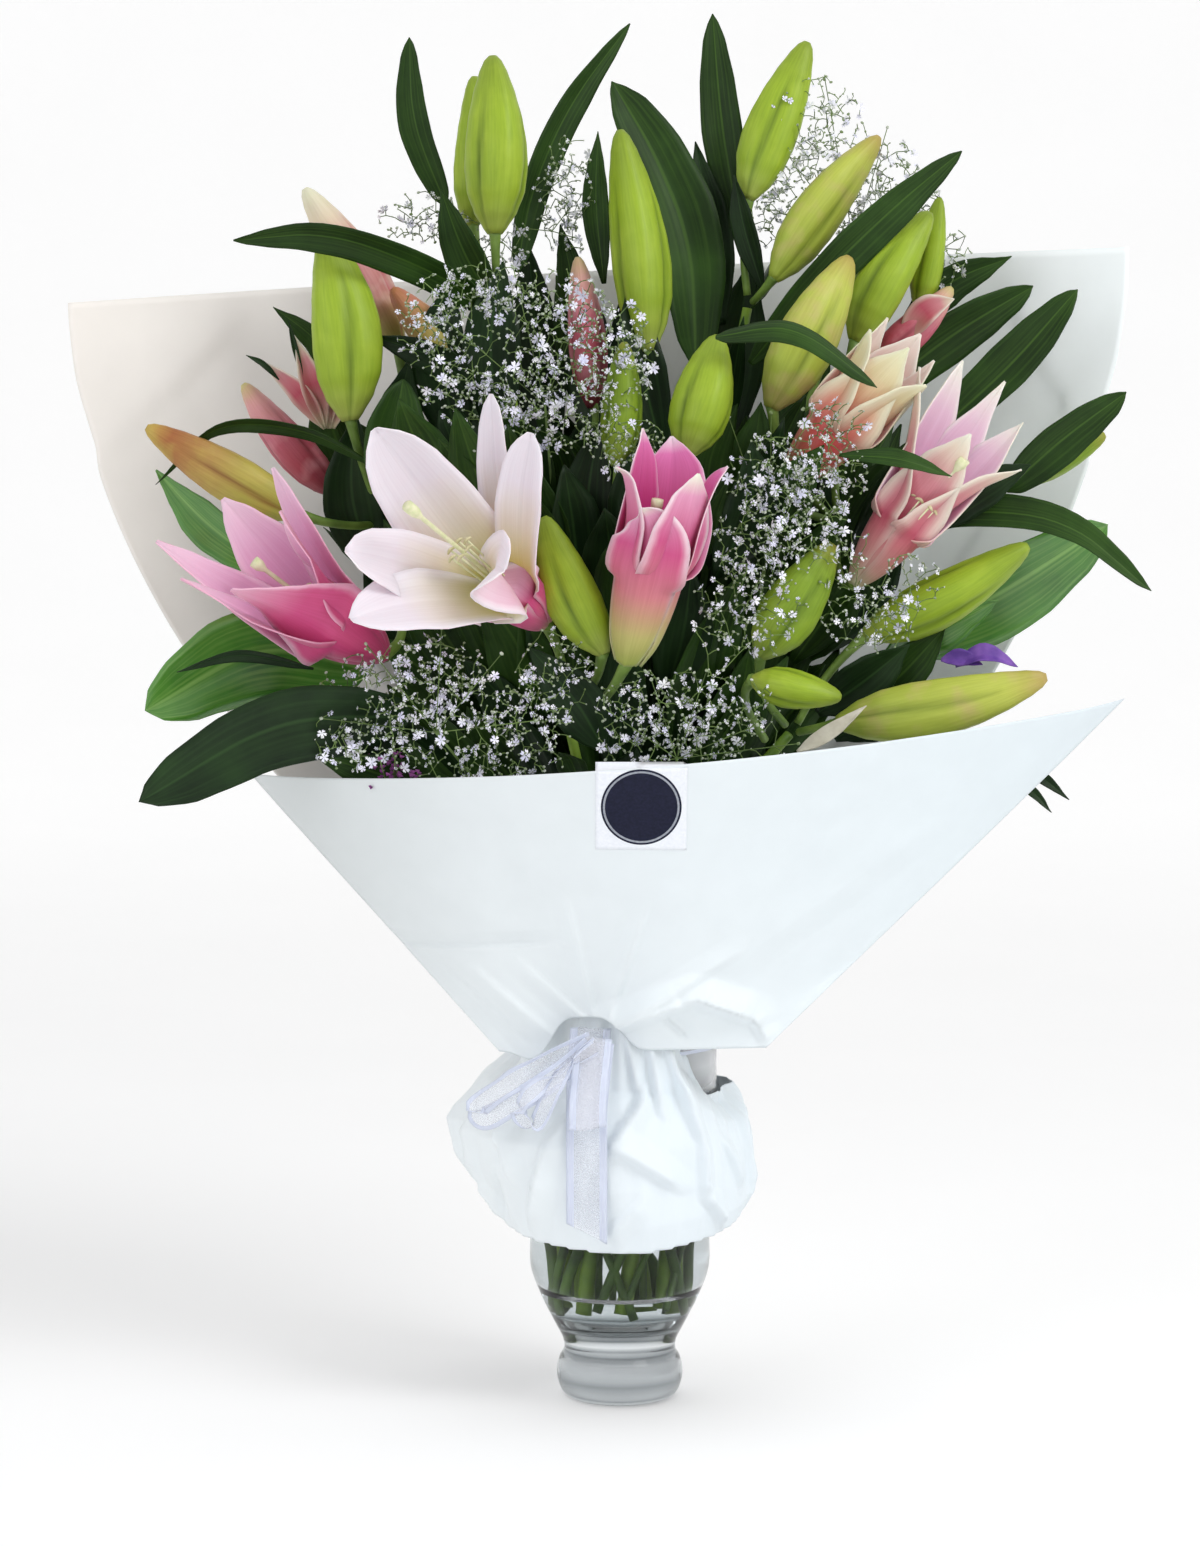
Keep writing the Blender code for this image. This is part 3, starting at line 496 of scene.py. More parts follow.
def finishSheet(name, mesh, materials, nodes, thickness, offset=0.0, backSlot=0):
    # a piece made of one layer of faces, which a modifier gives its thickness
    piece = finishPiece(name, mesh, materials, nodes, recalculate=False)
    change = piece.modifiers.new("thickness", "SOLIDIFY")
    change.thickness = thickness * millimetre
    change.offset = offset
    change.use_even_offset = False
    change.material_offset = backSlot
    change.material_offset_rim = 0
    return piece


vaseLook = {"sides": 96, "wall": 2.2 * millimetre, "underside": 0.4 * millimetre}
waterLook = {"sides": 72, "meniscus": 1.6 * millimetre}
stemLook = {"sides": 12, "rows": 60, "knuckle": 0.1, "knuckles": 7}


def smoothProfile(corners, steps):
    # more points on a smooth curve through a profile's (radius, height) corners
    line = [Vector((r, 0, z)) for r, z in corners]
    count = (len(line) - 1) * steps
    return [along(line, i / count) for i in range(count + 1)]


def vaseCorners():
    # the CAD vase's (radius, height) corners, outside and inside, each from the bottom up
    points = nodePoints("glass_vase")
    radii = np.round(np.hypot(points[:, 0], points[:, 1]), 5)
    corners = sorted({(float(z), float(r)) for r, z in zip(radii, np.round(points[:, 2], 5)) if r > 1e-4})
    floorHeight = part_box("water")[0].z
    rimHeight = corners[-1][0]
    outside, inside = [], []
    for height, radius in corners:
        hit = outside[-1][0] if outside else radius
        if height < floorHeight - 1 * millimetre or radius > hit - vaseLook["wall"]:
            outside.append((radius, height))
        else:
            inside.append((radius, height))
    return outside, inside, rimHeight


def turnedGrid(profile, sides):
    return [[Vector((p.x * math.cos(t), p.x * math.sin(t), p.z)) for t in allRound(sides)] for p in profile]


def makeVase(glass):
    outside, inside, rimHeight = vaseCorners()
    rim = [pair for pair in outside + inside if pair[1] > rimHeight - 3 * millimetre]
    rimOut, rimIn = max(r for r, _ in rim), min(r for r, _ in rim)
    middle, half = (rimOut + rimIn) / 2, (rimOut - rimIn) / 2
    turns = [math.pi * k / 8 for k in range(9)]
    bead = [Vector((middle + half * math.cos(a), 0, rimHeight - half + half * math.sin(a))) for a in turns]
    below = rimHeight - half - 1 * millimetre
    outside = [pair for pair in outside if pair[1] < below]
    inside = [pair for pair in inside if pair[1] < below]
    foot = [(outside[0][0] * 0.9, 0), (outside[0][0], vaseLook["underside"])]
    line = smoothProfile(foot + outside[1:], 4) + bead + smoothProfile(inside, 4)[::-1]
    mesh = startMesh()
    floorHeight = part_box("water")[0].z - vaseLook["underside"]
    addGrid(mesh, turnedGrid(line, vaseLook["sides"]), True, 0, None, Vector(), Vector((0, 0, floorHeight)))
    piece = finishPiece("glassVase", mesh, [glass], ["glass_vase"])
    piece.visible_shadow = False  # clear glass lets the lights through to the stems
    return inside


def makeWater(inner, water):
    # water wets the glass, so it fills the inside with no gap and climbs a little at the wall
    low, level = (corner.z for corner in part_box("water"))
    wet = 0.15 * millimetre
    side = [(r + wet, z) for r, z in inner if z < level - 4 * millimetre]
    top = np.interp(level, [z for _, z in inner], [r for r, _ in inner]) + wet
    rise = waterLook["meniscus"]
    line = smoothProfile([(side[0][0] * 0.6, low - 0.4 * millimetre)] + side + [(top, level + rise)], 4)
    line += [Vector((top - rise * 0.6, 0, level + rise * 0.35)), Vector((top - rise * 2, 0, level))]
    mesh = startMesh()
    addGrid(mesh, turnedGrid(line, waterLook["sides"]), True, 0, None,
            Vector((0, 0, low - 0.45 * millimetre)), Vector((0, 0, level)))
    finishPiece("vaseWater", mesh, [water], ["water"]).visible_shadow = False


def makeStems(stemMaterial):
    lines = {}
    for node in sorted(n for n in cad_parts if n.startswith("stem_")):
        outline = Outline(node, Vector((0, 0, 0)))
        whole = [c for ring, c in zip(outline.rings, outline.centres) if len(ring) == 8]
        centres = [outline.ends[0]] + whole[1:-2] + [outline.ends[-1]]
        radius = outline.sizes[0]
        lines[node] = centres
        seed = int(node[-1])
        mesh = startMesh()

        def radiusAt(share):
            taper = 1.05 - 0.33 * share
            swell = math.cos(2 * math.pi * (share * stemLook["knuckles"] + seed * 0.37)) ** 12
            return radius * (taper + stemLook["knuckle"] * swell)

        addTube(mesh, centres, radiusAt, stemLook["sides"], stemLook["rows"])
        finishPiece(node.replace("stem_", "lilyStem"), mesh, [stemMaterial], [node])
    return lines


leafThickness = 0.45
lilyLeafShape = [(0.0, 0.16), (0.06, 0.3), (0.16, 0.62), (0.32, 0.93), (0.46, 1.0), (0.62, 0.88),
                 (0.78, 0.58), (0.9, 0.27), (0.97, 0.09), (1.0, 0.015)]
broadLeafShape = [(0.0, 0.08), (0.05, 0.25), (0.15, 0.62), (0.3, 0.93), (0.45, 1.0), (0.6, 0.94),
                  (0.75, 0.72), (0.88, 0.4), (0.96, 0.14), (1.0, 0.01)]


def addLeaf(mesh, line, side, halfWidth, shape, seed, keel, ripple, rowCount=30, columns=9, skin=0):
    # a blade on its middle line: side says which way it spreads, and it folds up along the middle
    rows = []
    for i in range(rowCount + 1):
        share = i / rowCount
        centre, way = along(line, share), heading(line, share)
        over = (side(share) - way * side(share).dot(way)).normalized()
        normal = over.cross(way)
        half = halfWidth * between(shape, share)
        row = []
        for j in range(columns):
            u = 2 * j / (columns - 1) - 1
            wave = ripple * halfWidth * math.sin(share * 17 + seed * 1.7 + (2.1 if u > 0 else 0)) * u * u
            lift = keel * half * abs(u) ** 1.4 + wave * min(1, share * 4)
            rib = -0.03 * half * math.exp(-(u / 0.12) ** 2)
            row.append(centre + over * (half * u * math.cos(keel * abs(u) * 0.6)) + normal * (lift + rib))
        rows.append(row)
    addGrid(mesh, rows, False, skin)


def leafSides(outline):
    # which way a CAD leaf spreads, ring by ring
    ways = []
    for ring in outline.rings:
        if len(ring) < 4:
            continue
        pair = max(((a, b) for a in ring for b in ring), key=lambda p: (p[0] - p[1]).length)
        way = (pair[0] - pair[1]).normalized()
        if ways and way.dot(ways[-1]) < 0:
            way.negate()
        ways.append(way)
    return ways


def makeLeaf(node, name, materials, shape, keel, ripple):
    outline = Outline(node, tie)
    ways = leafSides(outline)
    if ways[0].x < 0:
        ways = [-way for way in ways]
    mesh = startMesh()
    widest = max(outline.sizes)
    seed = len(name) + ord(name[-1])
    addLeaf(mesh, outline.centres, lambda share: along(ways, share), widest, shape, seed, keel, ripple)
    finishSheet(name, mesh, materials, [node], leafThickness)


budLook = {
    "columns": 36, "rows": 34,
    "shape": [(0.0, 0.24), (0.04, 0.4), (0.12, 0.68), (0.24, 0.92), (0.38, 1.0), (0.5, 0.97), (0.64, 0.86),
              (0.78, 0.68), (0.9, 0.47), (0.965, 0.31), (1.0, 0.13)],
    "seamDepth": 0.11, "seamWidth": 0.13, "ribHeight": 0.05, "ribWidth": 0.12,
    "triangle": 0.07, "twist": 0.35, "bend": 18, "stalk": 1.8,
}


def budPoint(base, tip, side, front, radius, share, turn, seed):
    # three outer petals with a rib each, and seams between them that twist a little towards the tip
    out = tip - base
    bend = (side * math.sin(seed) + front * math.cos(seed)) * (0.035 * out.length * math.sin(math.pi * share))
    twist = turn + budLook["twist"] * share + seed
    lobe = math.cos(3 * twist)
    fromSeam = abs(((3 * twist) % (2 * math.pi)) - math.pi) / 3
    seam = math.exp(-(fromSeam / budLook["seamWidth"]) ** 2)
    seam *= math.sin(math.pi * min(share * 1.15 + 0.1, 1)) ** 0.6  # it fades at both ends
    fromRib = twist % (2 * math.pi / 3)
    rib = math.exp(-(min(fromRib, 2 * math.pi / 3 - fromRib) / budLook["ribWidth"]) ** 2)
    size = radius * between(budLook["shape"], share)
    size *= (1 + budLook["triangle"] * lobe - budLook["seamDepth"] * seam
             + budLook["ribHeight"] * rib * math.sin(math.pi * share))
    place = base + out * share + bend + side * (size * math.cos(turn)) + front * (size * math.sin(turn))
    return place, seam


def addBud(mesh, base, tip, radius, seed, skin=0):
    side, front = sideways((tip - base).normalized(), Vector((0.3, -1, 0.2)))
    rows, shades = [], []
    for i in range(budLook["rows"] + 1):
        share = i / budLook["rows"]
        pairs = [budPoint(base, tip, side, front, radius, share, 2 * math.pi * j / budLook["columns"], seed)
                 for j in range(budLook["columns"])]
        rows.append([place for place, _ in pairs])
        shades.append([seam for _, seam in pairs])
    addGrid(mesh, rows, True, skin, shades, base, tip)


def makeBud(node, material, stalkMaterial, seed):
    outline = Outline(node, tie)
    baseRing = 3
    base, tip = outline.centres[baseRing], outline.centres[-1]
    mesh = startMesh()
    addBud(mesh, base, tip, max(outline.sizes[baseRing:]), seed)
    stalk = outline.centres[:baseRing] + [base + (tip - base) * 0.02]
    addTube(mesh, stalk, lambda share: (2.0 + 1.3 * share ** 5) * millimetre, 10, 14, 1)
    finishPiece(node.replace("bud_", "lilyBud"), mesh, [material, stalkMaterial], [node])


# buds half hidden between the flowers: base, tip, width in millimetres, and colour
hiddenBuds = [
    ((-14, 8, 498), (-21, 12, 573), 19, "rose"), ((126, 14, 520), (166, 20, 558), 18, "rose"),
    ((150, 22, 546), (160, 26, 603), 16, "lime"), ((-76, 0, 518), (-113, -4, 557), 20, "blush"),
    ((118, 20, 548), (150, 26, 590), 17, "rose"), ((-2, -60, 470), (2, -52, 530), 20, "deepLime"),
]


def makeHiddenBuds(skins, stalkMaterial, stemLines):
    kinds = sorted(skins)
    mesh = startMesh()
    for number, (base, tip, width, kind) in enumerate(hiddenBuds):
        base, tip = Vector(base) * millimetre, Vector(tip) * millimetre
        root = min((along(line, 0.9) for line in stemLines.values()), key=lambda p: (p - base).length)
        addBud(mesh, base, tip, width / 2 * millimetre, number * 1.3, kinds.index(kind))
        bend = base - (tip - base).normalized() * (budLook["bend"] * millimetre)
        addTube(mesh, [root, bend, base.lerp(tip, 0.02)], lambda share: budLook["stalk"] * millimetre,
                10, 14, len(kinds))
    materials = [skins[kind] for kind in kinds] + [stalkMaterial]
    finishPiece("hiddenBuds", mesh, materials, [])


# a lily: six petals make a tube from the base, part at the share called opens, and reach out to their tips;
# each petal is its tip, its width and how far it bows forward, in millimetres
petalSize = {"rows": 40, "columns": 15, "thickness": 0.6}
petalShapes = {
    "pointed": ([(0.0, 0.3), (0.12, 0.5), (0.3, 0.78), (0.5, 0.98), (0.62, 1.0), (0.78, 0.78), (0.92, 0.36),
                 (1.0, 0.04)],
                [(0.0, 0.3), (0.12, 0.48), (0.3, 0.74), (0.5, 0.98), (0.66, 1.0), (0.82, 0.8), (0.93, 0.44),
                 (1.0, 0.06)]),
    "broad": ([(0.0, 0.3), (0.12, 0.45), (0.3, 0.62), (0.5, 0.84), (0.66, 1.0), (0.8, 1.0), (0.9, 0.84),
               (0.96, 0.6), (1.0, 0.1)],
              [(0.0, 0.3), (0.12, 0.45), (0.3, 0.66), (0.5, 0.9), (0.68, 1.0), (0.84, 0.98), (0.93, 0.78),
               (0.97, 0.54), (1.0, 0.1)]),
    "clasped": ([(0.0, 0.3), (0.12, 0.55), (0.3, 0.85), (0.5, 1.0), (0.64, 0.92), (0.8, 0.56), (0.92, 0.2),
                 (1.0, 0.02)],
                [(0.0, 0.3), (0.12, 0.55), (0.3, 0.85), (0.5, 1.0), (0.66, 0.96), (0.82, 0.66), (0.93, 0.28),
                 (1.0, 0.03)])}
heartLook = {"tall": 0.62, "spread": 5.5, "filament": 0.5, "anther": 2.4}
tubeProfile = [(0.0, 0.16), (0.16, 0.5), (0.42, 0.8), (0.72, 0.95), (1.0, 1.0)]
bloomLooks = {
    "bloom_open_pale": {
        "skin": "shell", "shape": "broad", "tube": 15, "opens": 0.5, "ruffle": 1.2,
        "stigma": (-98, -174, 454), "facing": (-0.3, -0.9, 0.3), "turned": 0.85, "petals": [
            ((-114, -152, 489), 43, 4), ((-61, -124, 505), 17, 3), ((-42, -138, 487), 26, 4),
            ((-127, -166, 433), 35, 5), ((-124, -174, 402), 36, 5), ((-54, -172, 424), 36, 10)]},
    "bloom_open_left": {
        "skin": "rosePink", "shape": "pointed", "tube": 18, "opens": 0.42, "ruffle": 1.0,
        "stigma": (-174, -104, 426), "facing": (-0.4, -0.8, 0.5), "turned": 0.4, "petals": [
            ((-166, -84, 470), 28, 3), ((-191, -76, 455), 40, 4), ((-161, -106, 450), 30, 3),
            ((-221, -96, 435), 32, 3), ((-208, -112, 418), 30, 2), ((-182, -134, 414), 48, 3)]},
    "bloom_trumpet": {
        "skin": "magenta", "shape": "clasped", "tube": 17, "belly": 0.55, "opens": 0.8, "ruffle": 0.5,
        "stigma": (17, -130, 456), "facing": (0.1, -0.9, 0.5), "turned": 0.0, "petals": [
            ((10, -112, 489), 32, 7), ((50, -122, 471), 34, 8), ((-3, -136, 471), 32, 7),
            ((24, -98, 485), 46, 5), ((36, -137, 468), 40, 3), ((9, -141, 452), 42, 3)]},
    "bloom_right": {
        "skin": "creamPink", "shape": "clasped", "tube": 14.5, "opens": 0.6, "ruffle": 0.8,
        "stigma": (164, -88, 474), "facing": (0.3, -0.9, 0.3), "turned": 0.2, "petals": [
            ((166, -48, 521), 38, 5), ((187, -42, 511), 38, 5), ((195, -52, 491), 38, 5),
            ((192, -76, 469), 38, 5), ((144, -60, 518), 30, 3), ((166, -92, 486), 36, 1)]},
    "bloom_half_open": {
        "skin": "redPink", "shape": "clasped", "tube": 16, "opens": 0.66, "ruffle": 0.6,
        "stigma": (128, -56, 508), "facing": (0.3, -0.9, 0.3), "turned": 0.1, "petals": [
            ((152, -50, 521), 38, 4), ((146, -40, 534), 38, 4), ((130, -38, 542), 38, 4),
            ((147, -66, 509), 38, 4), ((120, -62, 536), 38, 4), ((138, -72, 527), 40, 4)]},
}


def readFlower(node):
    outline = Outline(node, tie)
    baseRing, rimRing = 3, 8
    base = outline.centres[baseRing]
    rim = sorted(outline.rings[rimRing], key=lambda p: -(p - base).length)[:6]
    mouth = sum(rim, Vector()) / 6
    out = (mouth - base).normalized()
    side, front = sideways(out, Vector((0, -1, 0)))
    return {"base": base, "out": out, "side": side, "front": front, "length": (mouth - base).length,
            "stalk": outline.centres[:baseRing]}


def petalPath(flower, look, turn, tip, bow):
    # from the flower's base up the tube wall, then over a shoulder to the tip
    away = flower["side"] * math.cos(turn) + flower["front"] * math.sin(turn)
    tube, belly = look["tube"] * millimetre, look.get("belly", 1.0)
    height = min(flower["length"] * look["opens"], 0.82 * (tip - flower["base"]).dot(flower["out"]))
    path = [flower["base"] + flower["out"] * (height * rise) + away * (tube * wide ** belly)
            for rise, wide in tubeProfile]
    shoulder = path[-1].lerp(tip, 0.5) + flower["out"] * (bow * millimetre)
    return away, path + [shoulder, tip]


def addPetal(mesh, flower, look, number, turn, tip, width, bow):
    isInner = number % 2 == 1
    away, path = petalPath(flower, look, turn, tip, bow)
    across = flower["out"].cross(away)
    facing = Vector(look["facing"]).normalized()
    shape = petalShapes[look["shape"]][isInner]
    rows = []
    for i in range(petalSize["rows"] + 1):
        share = i / petalSize["rows"]
        centre, way = along(path, share), heading(path, share)
        opened = max(0, min(1, (share - 0.45) / 0.35))
        spread = across.lerp(facing.cross(way).normalized(), opened * look["turned"])
        over = (spread - way * spread.dot(way)).normalized()
        outward = over.cross(way)
        half = width / 2 * millimetre * between(shape, share)
        tubeRadius = look["tube"] * millimetre
        tubeRadius *= (0.16 + 0.84 * min(1, share / 0.55)) ** look.get("belly", 1.0)
        bend = tubeRadius * (1 - opened) + 3.2 * half * opened + 4 * tubeRadius * opened
        row = []
        for j in range(petalSize["columns"]):
            u = 2 * j / (petalSize["columns"] - 1) - 1
            angle = min(half / bend, 1.4) * u
            wave = math.sin(share * 17 + number * 2.3 + (1.9 if u > 0 else 0)) * abs(u) ** 3 * opened
            rib = 0.7 * math.exp(-(u / 0.12) ** 2) * (1 - share * 0.6)
            keel = 0.16 * half / millimetre * abs(u) * opened
            lift = look["ruffle"] * wave + rib - keel - (1.5 * (1 - opened) if isInner else 0)
            row.append(centre + over * (bend * math.sin(angle)) - outward * (bend * (1 - math.cos(angle)))
                       + outward * (lift * millimetre))
        rows.append(row)
    addGrid(mesh, rows)


def makeBloom(node, look, outside, inside, otherMaterials):
    flower = readFlower(node)
    tips = []
    for tip, width, bow in look["petals"]:
        tip = Vector(tip) * millimetre
        spread = tip - flower["base"]
        tips.append((math.atan2(spread.dot(flower["front"]), spread.dot(flower["side"])), tip, width, bow))
    tips.sort(key=lambda t: t[0])
    step = math.pi / 3
    first = sum(turn - k * step for k, (turn, _, _, _) in enumerate(tips)) / len(tips)
    mesh = startMesh()
    for k, (_, tip, width, bow) in enumerate(tips):
        addPetal(mesh, flower, look, k, first + k * step, tip, width, bow)
    name = "lily" + node.replace("bloom_", "").title().replace("_", "")
    finishSheet(name + "Petals", mesh, [outside, inside], [node], petalSize["thickness"], 0, 1)
    turns = [first + (k + 0.5) * step for k in range(6)]
    makeHeart(name + "Heart", flower, Vector(look["stigma"]) * millimetre, turns, otherMaterials)


def makeHeart(name, flower, stigma, turns, materials):
    # the stalk, the pistil that ends in its stigma, and six filaments with an anther across each end
    heart = startMesh()
    stalk = flower["stalk"] + [flower["base"] + flower["out"] * (2 * millimetre)]
    addTube(heart, stalk, lambda share: (2.1 + 1.6 * share ** 5) * millimetre, 10, 14, 0)
    start = flower["base"] + flower["out"] * (4 * millimetre)
    middle = start.lerp(stigma, 0.5) + flower["out"] * (5 * millimetre)
    addTube(heart, [start, middle, stigma],
            lambda share: (0.9 + 0.3 * share + (1.7 if share > 0.94 else 0)) * millimetre, 10, 18, 1)
    reach = heartLook["anther"] * millimetre
    for turn in turns:
        way = flower["side"] * math.cos(turn) + flower["front"] * math.sin(turn)
        end = start.lerp(stigma, heartLook["tall"]) + way * (heartLook["spread"] * millimetre)
        addTube(heart, [start + way * millimetre, start.lerp(end, 0.55) + way * millimetre, end],
                lambda share: heartLook["filament"] * millimetre, 6, 10, 1)
        anther = [end - flower["side"] * reach, end + flower["out"] * millimetre,
                  end + flower["side"] * reach]
        addTube(heart, anther, lambda share: (0.3 + 0.5 * math.sin(math.pi * share) ** 0.5) * millimetre,
                8, 8, 2)
    finishPiece(name, heart, materials, [])


def obstacleTree(skipped):
    # every CAD piece that a leaf or a floret must not sit in
    corners, faces = [], []
    for name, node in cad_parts.items():
        if name.startswith(skipped):
            continue
        start = len(corners)
        corners += [v.co.copy() for v in node.data.vertices]
        faces += [[start + i for i in p.vertices] for p in node.data.polygons]
    return BVHTree.FromPolygons(corners, faces)


def isClear(tree, points, gap):
    # true where nothing lies within the gap of the points, or between one and the next
    for here, there in zip(points, points[1:] + points[-1:]):
        if tree.find_nearest(here)[3] < gap:
            return False
        way = there - here
        if way.length > 0 and tree.ray_cast(here, way.normalized(), way.length)[0] is not None:
            return False
    return True


def isInside(place, room):
    return all(cadLow[k] + room < place[k] < cadHigh[k] - room for k in range(3))


# thinner green stalks of the filler plants stand outside the lily stems in the water; their dark green is
# partly their own colour and partly painted shade for the dark gaps between the stems; lengths in millimetres
stalkLook = {"count": 15, "radius": (1.5, 2.8), "foot": 27.5, "bulge": 31.0, "tie": 20.0, "turn": 135.0,
             "seed": 3, "low": 46, "rise": 194}


def makeStalks(material):
    chance = random.Random(stalkLook["seed"])
    mesh = startMesh()
    for k in range(stalkLook["count"]):
        place = 2 * math.pi * (k + chance.uniform(-0.3, 0.3)) / stalkLook["count"]
        turn = math.radians(stalkLook["turn"]) * (-1 if k % 3 == 0 else 1)
        line = []
        for rise, wide in ((0.0, stalkLook["foot"]), (0.45, stalkLook["bulge"]), (1.0, stalkLook["tie"])):
            angle = place - turn * (1 - rise)
            height = stalkLook["low"] + stalkLook["rise"] * rise + (4 * (k % 3) if rise == 0 else 0)
            line.append(Vector((math.cos(angle) * wide, math.sin(angle) * wide, height)) * millimetre)
        line.append(line[-1] + Vector((line[-1].x, line[-1].y, 0.02)) * 1.2)
        radius = chance.uniform(*stalkLook["radius"]) * millimetre
        addTube(mesh, line, lambda share: radius * (1 - 0.3 * share), 10, 40)
    finishPiece("fillerStalks", mesh, [material], [])


# leaves all the way up the lily stems, and dark filler leaves between them; lengths in millimetres
stemLeafLook = {"step": 11.0, "lowest": 262.0, "length": (54.0, 88.0), "width": (12.0, 18.0), "seed": 5}
fillerLook = {"tries": 620, "length": (56.0, 96.0), "width": (20.0, 34.0), "seed": 8,
              "low": (-150.0, -88.0, 322.0), "high": (150.0, 66.0, 505.0)}
# single leaves, each as its middle line, its width, its turn about that line in degrees, and its skin
looseLeaves = [
    ([(-8, 24, 560), (-12, 26, 600), (-11, 28, 636)], 14, 10, 0),
    ([(52, 44, 540), (46, 46, 590), (38, 48, 632)], 21, -10, 1),
    ([(72, 28, 556), (62, 24, 588), (57, 22, 614)], 13, 15, 1),
    ([(138, 30, 533), (165, 34, 560), (197, 34, 574)], 21, -20, 0),
    ([(104, -88, 476), (132, -97, 474), (157, -96, 466)], 10, 30, 0),
    ([(148, -40, 438), (174, -46, 459), (199, -50, 471)], 22, -15, 1),
    ([(-118, 12, 436), (-140, 16, 476), (-150, 18, 516)], 32, -10, 0),
    ([(-116, -34, 468), (-155, -42, 487), (-196, -46, 488), (-226, -48, 461)], 9, 40, 0),
    ([(-58, 12, 540), (-77, 8, 574), (-89, 6, 606)], 22, 20, 0),
    ([(-62, -22, 498), (-90, -28, 522), (-124, -32, 534)], 19, 25, 1),
    ([(-168, -28, 416), (-200, -34, 440), (-227, -36, 468)], 24, 20, 2),
    ([(-146, -104, 375), (-180, -112, 382), (-210, -114, 374)], 7, 30, 1),
    ([(-8, -100, 336), (-22, -106, 360), (-44, -108, 386)], 27, 0, 1),
    ([(128, -40, 376), (156, -46, 392), (184, -48, 405)], 25, -25, 2),
    ([(-30, 30, 520), (-24, 34, 556), (-30, 36, 590)], 18, 0, 0),
    ([(96, 24, 540), (120, 26, 572), (150, 28, 590)], 18, -20, 1),
    ([(-134, 6, 500), (-150, 2, 530), (-172, 0, 548)], 13, 15, 0),
    ([(22, -10, 470), (10, -14, 520), (4, -12, 560)], 24, -10, 1),
    ([(-34, 42, 470), (-42, 46, 530), (-46, 44, 580)], 30, 10, 1),
    ([(-14, 44, 480), (-18, 48, 530), (-26, 46, 574)], 28, -10, 1),
    ([(-60, 36, 470), (-64, 40, 520), (-62, 38, 560)], 28, 0, 1),
    ([(56, 44, 480), (60, 48, 530), (66, 46, 572)], 30, 0, 1),
    ([(84, 40, 470), (92, 44, 520), (100, 42, 556)], 30, -10, 0),
    ([(4, 46, 470), (6, 50, 520), (2, 48, 560)], 26, 10, 1),
    ([(176, -24, 330), (205, -30, 318), (221, -34, 306)], 7, 20, 1),
    ([(-120, -14, 414), (-132, -20, 454), (-130, -24, 496)], 30, 0, 1),
    ([(-108, -6, 436), (-112, -12, 480), (-104, -16, 522)], 32, -10, 1),
    ([(-70, -62, 306), (-104, -76, 334), (-138, -84, 362)], 34, 10, 1),
    ([(-58, -58, 300), (-86, -74, 330), (-112, -82, 366)], 34, 0, 0),
    ([(-66, -70, 304), (-106, -86, 320), (-148, -92, 334)], 26, 15, 0),
    ([(-78, -4, 470), (-88, -8, 520), (-84, -8, 562)], 30, 10, 1),
    ([(-60, -8, 480), (-64, -10, 530), (-58, -8, 570)], 30, -10, 1),
    ([(-10, -52, 410), (-16, -56, 450), (-10, -54, 492)], 30, 0, 1),
    ([(96, -50, 350), (118, -58, 366), (140, -60, 384)], 26, -10, 1),
    ([(104, -56, 338), (130, -62, 352), (158, -64, 362)], 24, -20, 1),
    ([(120, -44, 352), (140, -50, 372), (158, -52, 392)], 22, 0, 0),
    ([(84, -97, 335), (99, -99, 344), (117, -98, 357)], 8, 20, 3),
    ([(176, -26, 324), (200, -34, 312), (212, -38, 300)], 6, 20, 1),
]


# single petals in the same form: a young flower half open at the left,
# one pale petal beside the right buds, and a purple bract at the right edge
loosePetals = [
    ([(-146, -8, 488), (-158, -12, 506), (-176, -16, 521)], 12, 20, 0),
    ([(-146, -8, 488), (-152, -14, 510), (-160, -18, 533)], 13, -10, 0),
    ([(-144, -6, 488), (-145, -10, 510), (-149, -12, 530)], 12, 10, 0),
    ([(-142, -6, 488), (-139, -10, 504), (-136, -12, 520)], 10, 0, 0),
    ([(-156, -16, 512), (-160, -18, 528), (-163, -19, 541)], 3, 0, 1),
    ([(-168, -16, 512), (-176, -18, 520), (-184, -19, 524)], 3, 0, 1),
    ([(140, 12, 530), (152, 8, 546), (166, 6, 552)], 15, 15, 0),
    ([(163, -54, 373), (177, -57, 379), (193, -58, 373)], 11, 40, 2),
    ([(156, -52, 376), (166, -54, 377), (176, -56, 374)], 9, 20, 2),
]


def spreadLeaf(mesh, line, over, width, look):
    addLeaf(mesh, line, lambda share: over, width / 2, lilyLeafShape, look["seed"], look["keel"], 0.06,
            look["rows"], look["columns"], look["skin"])


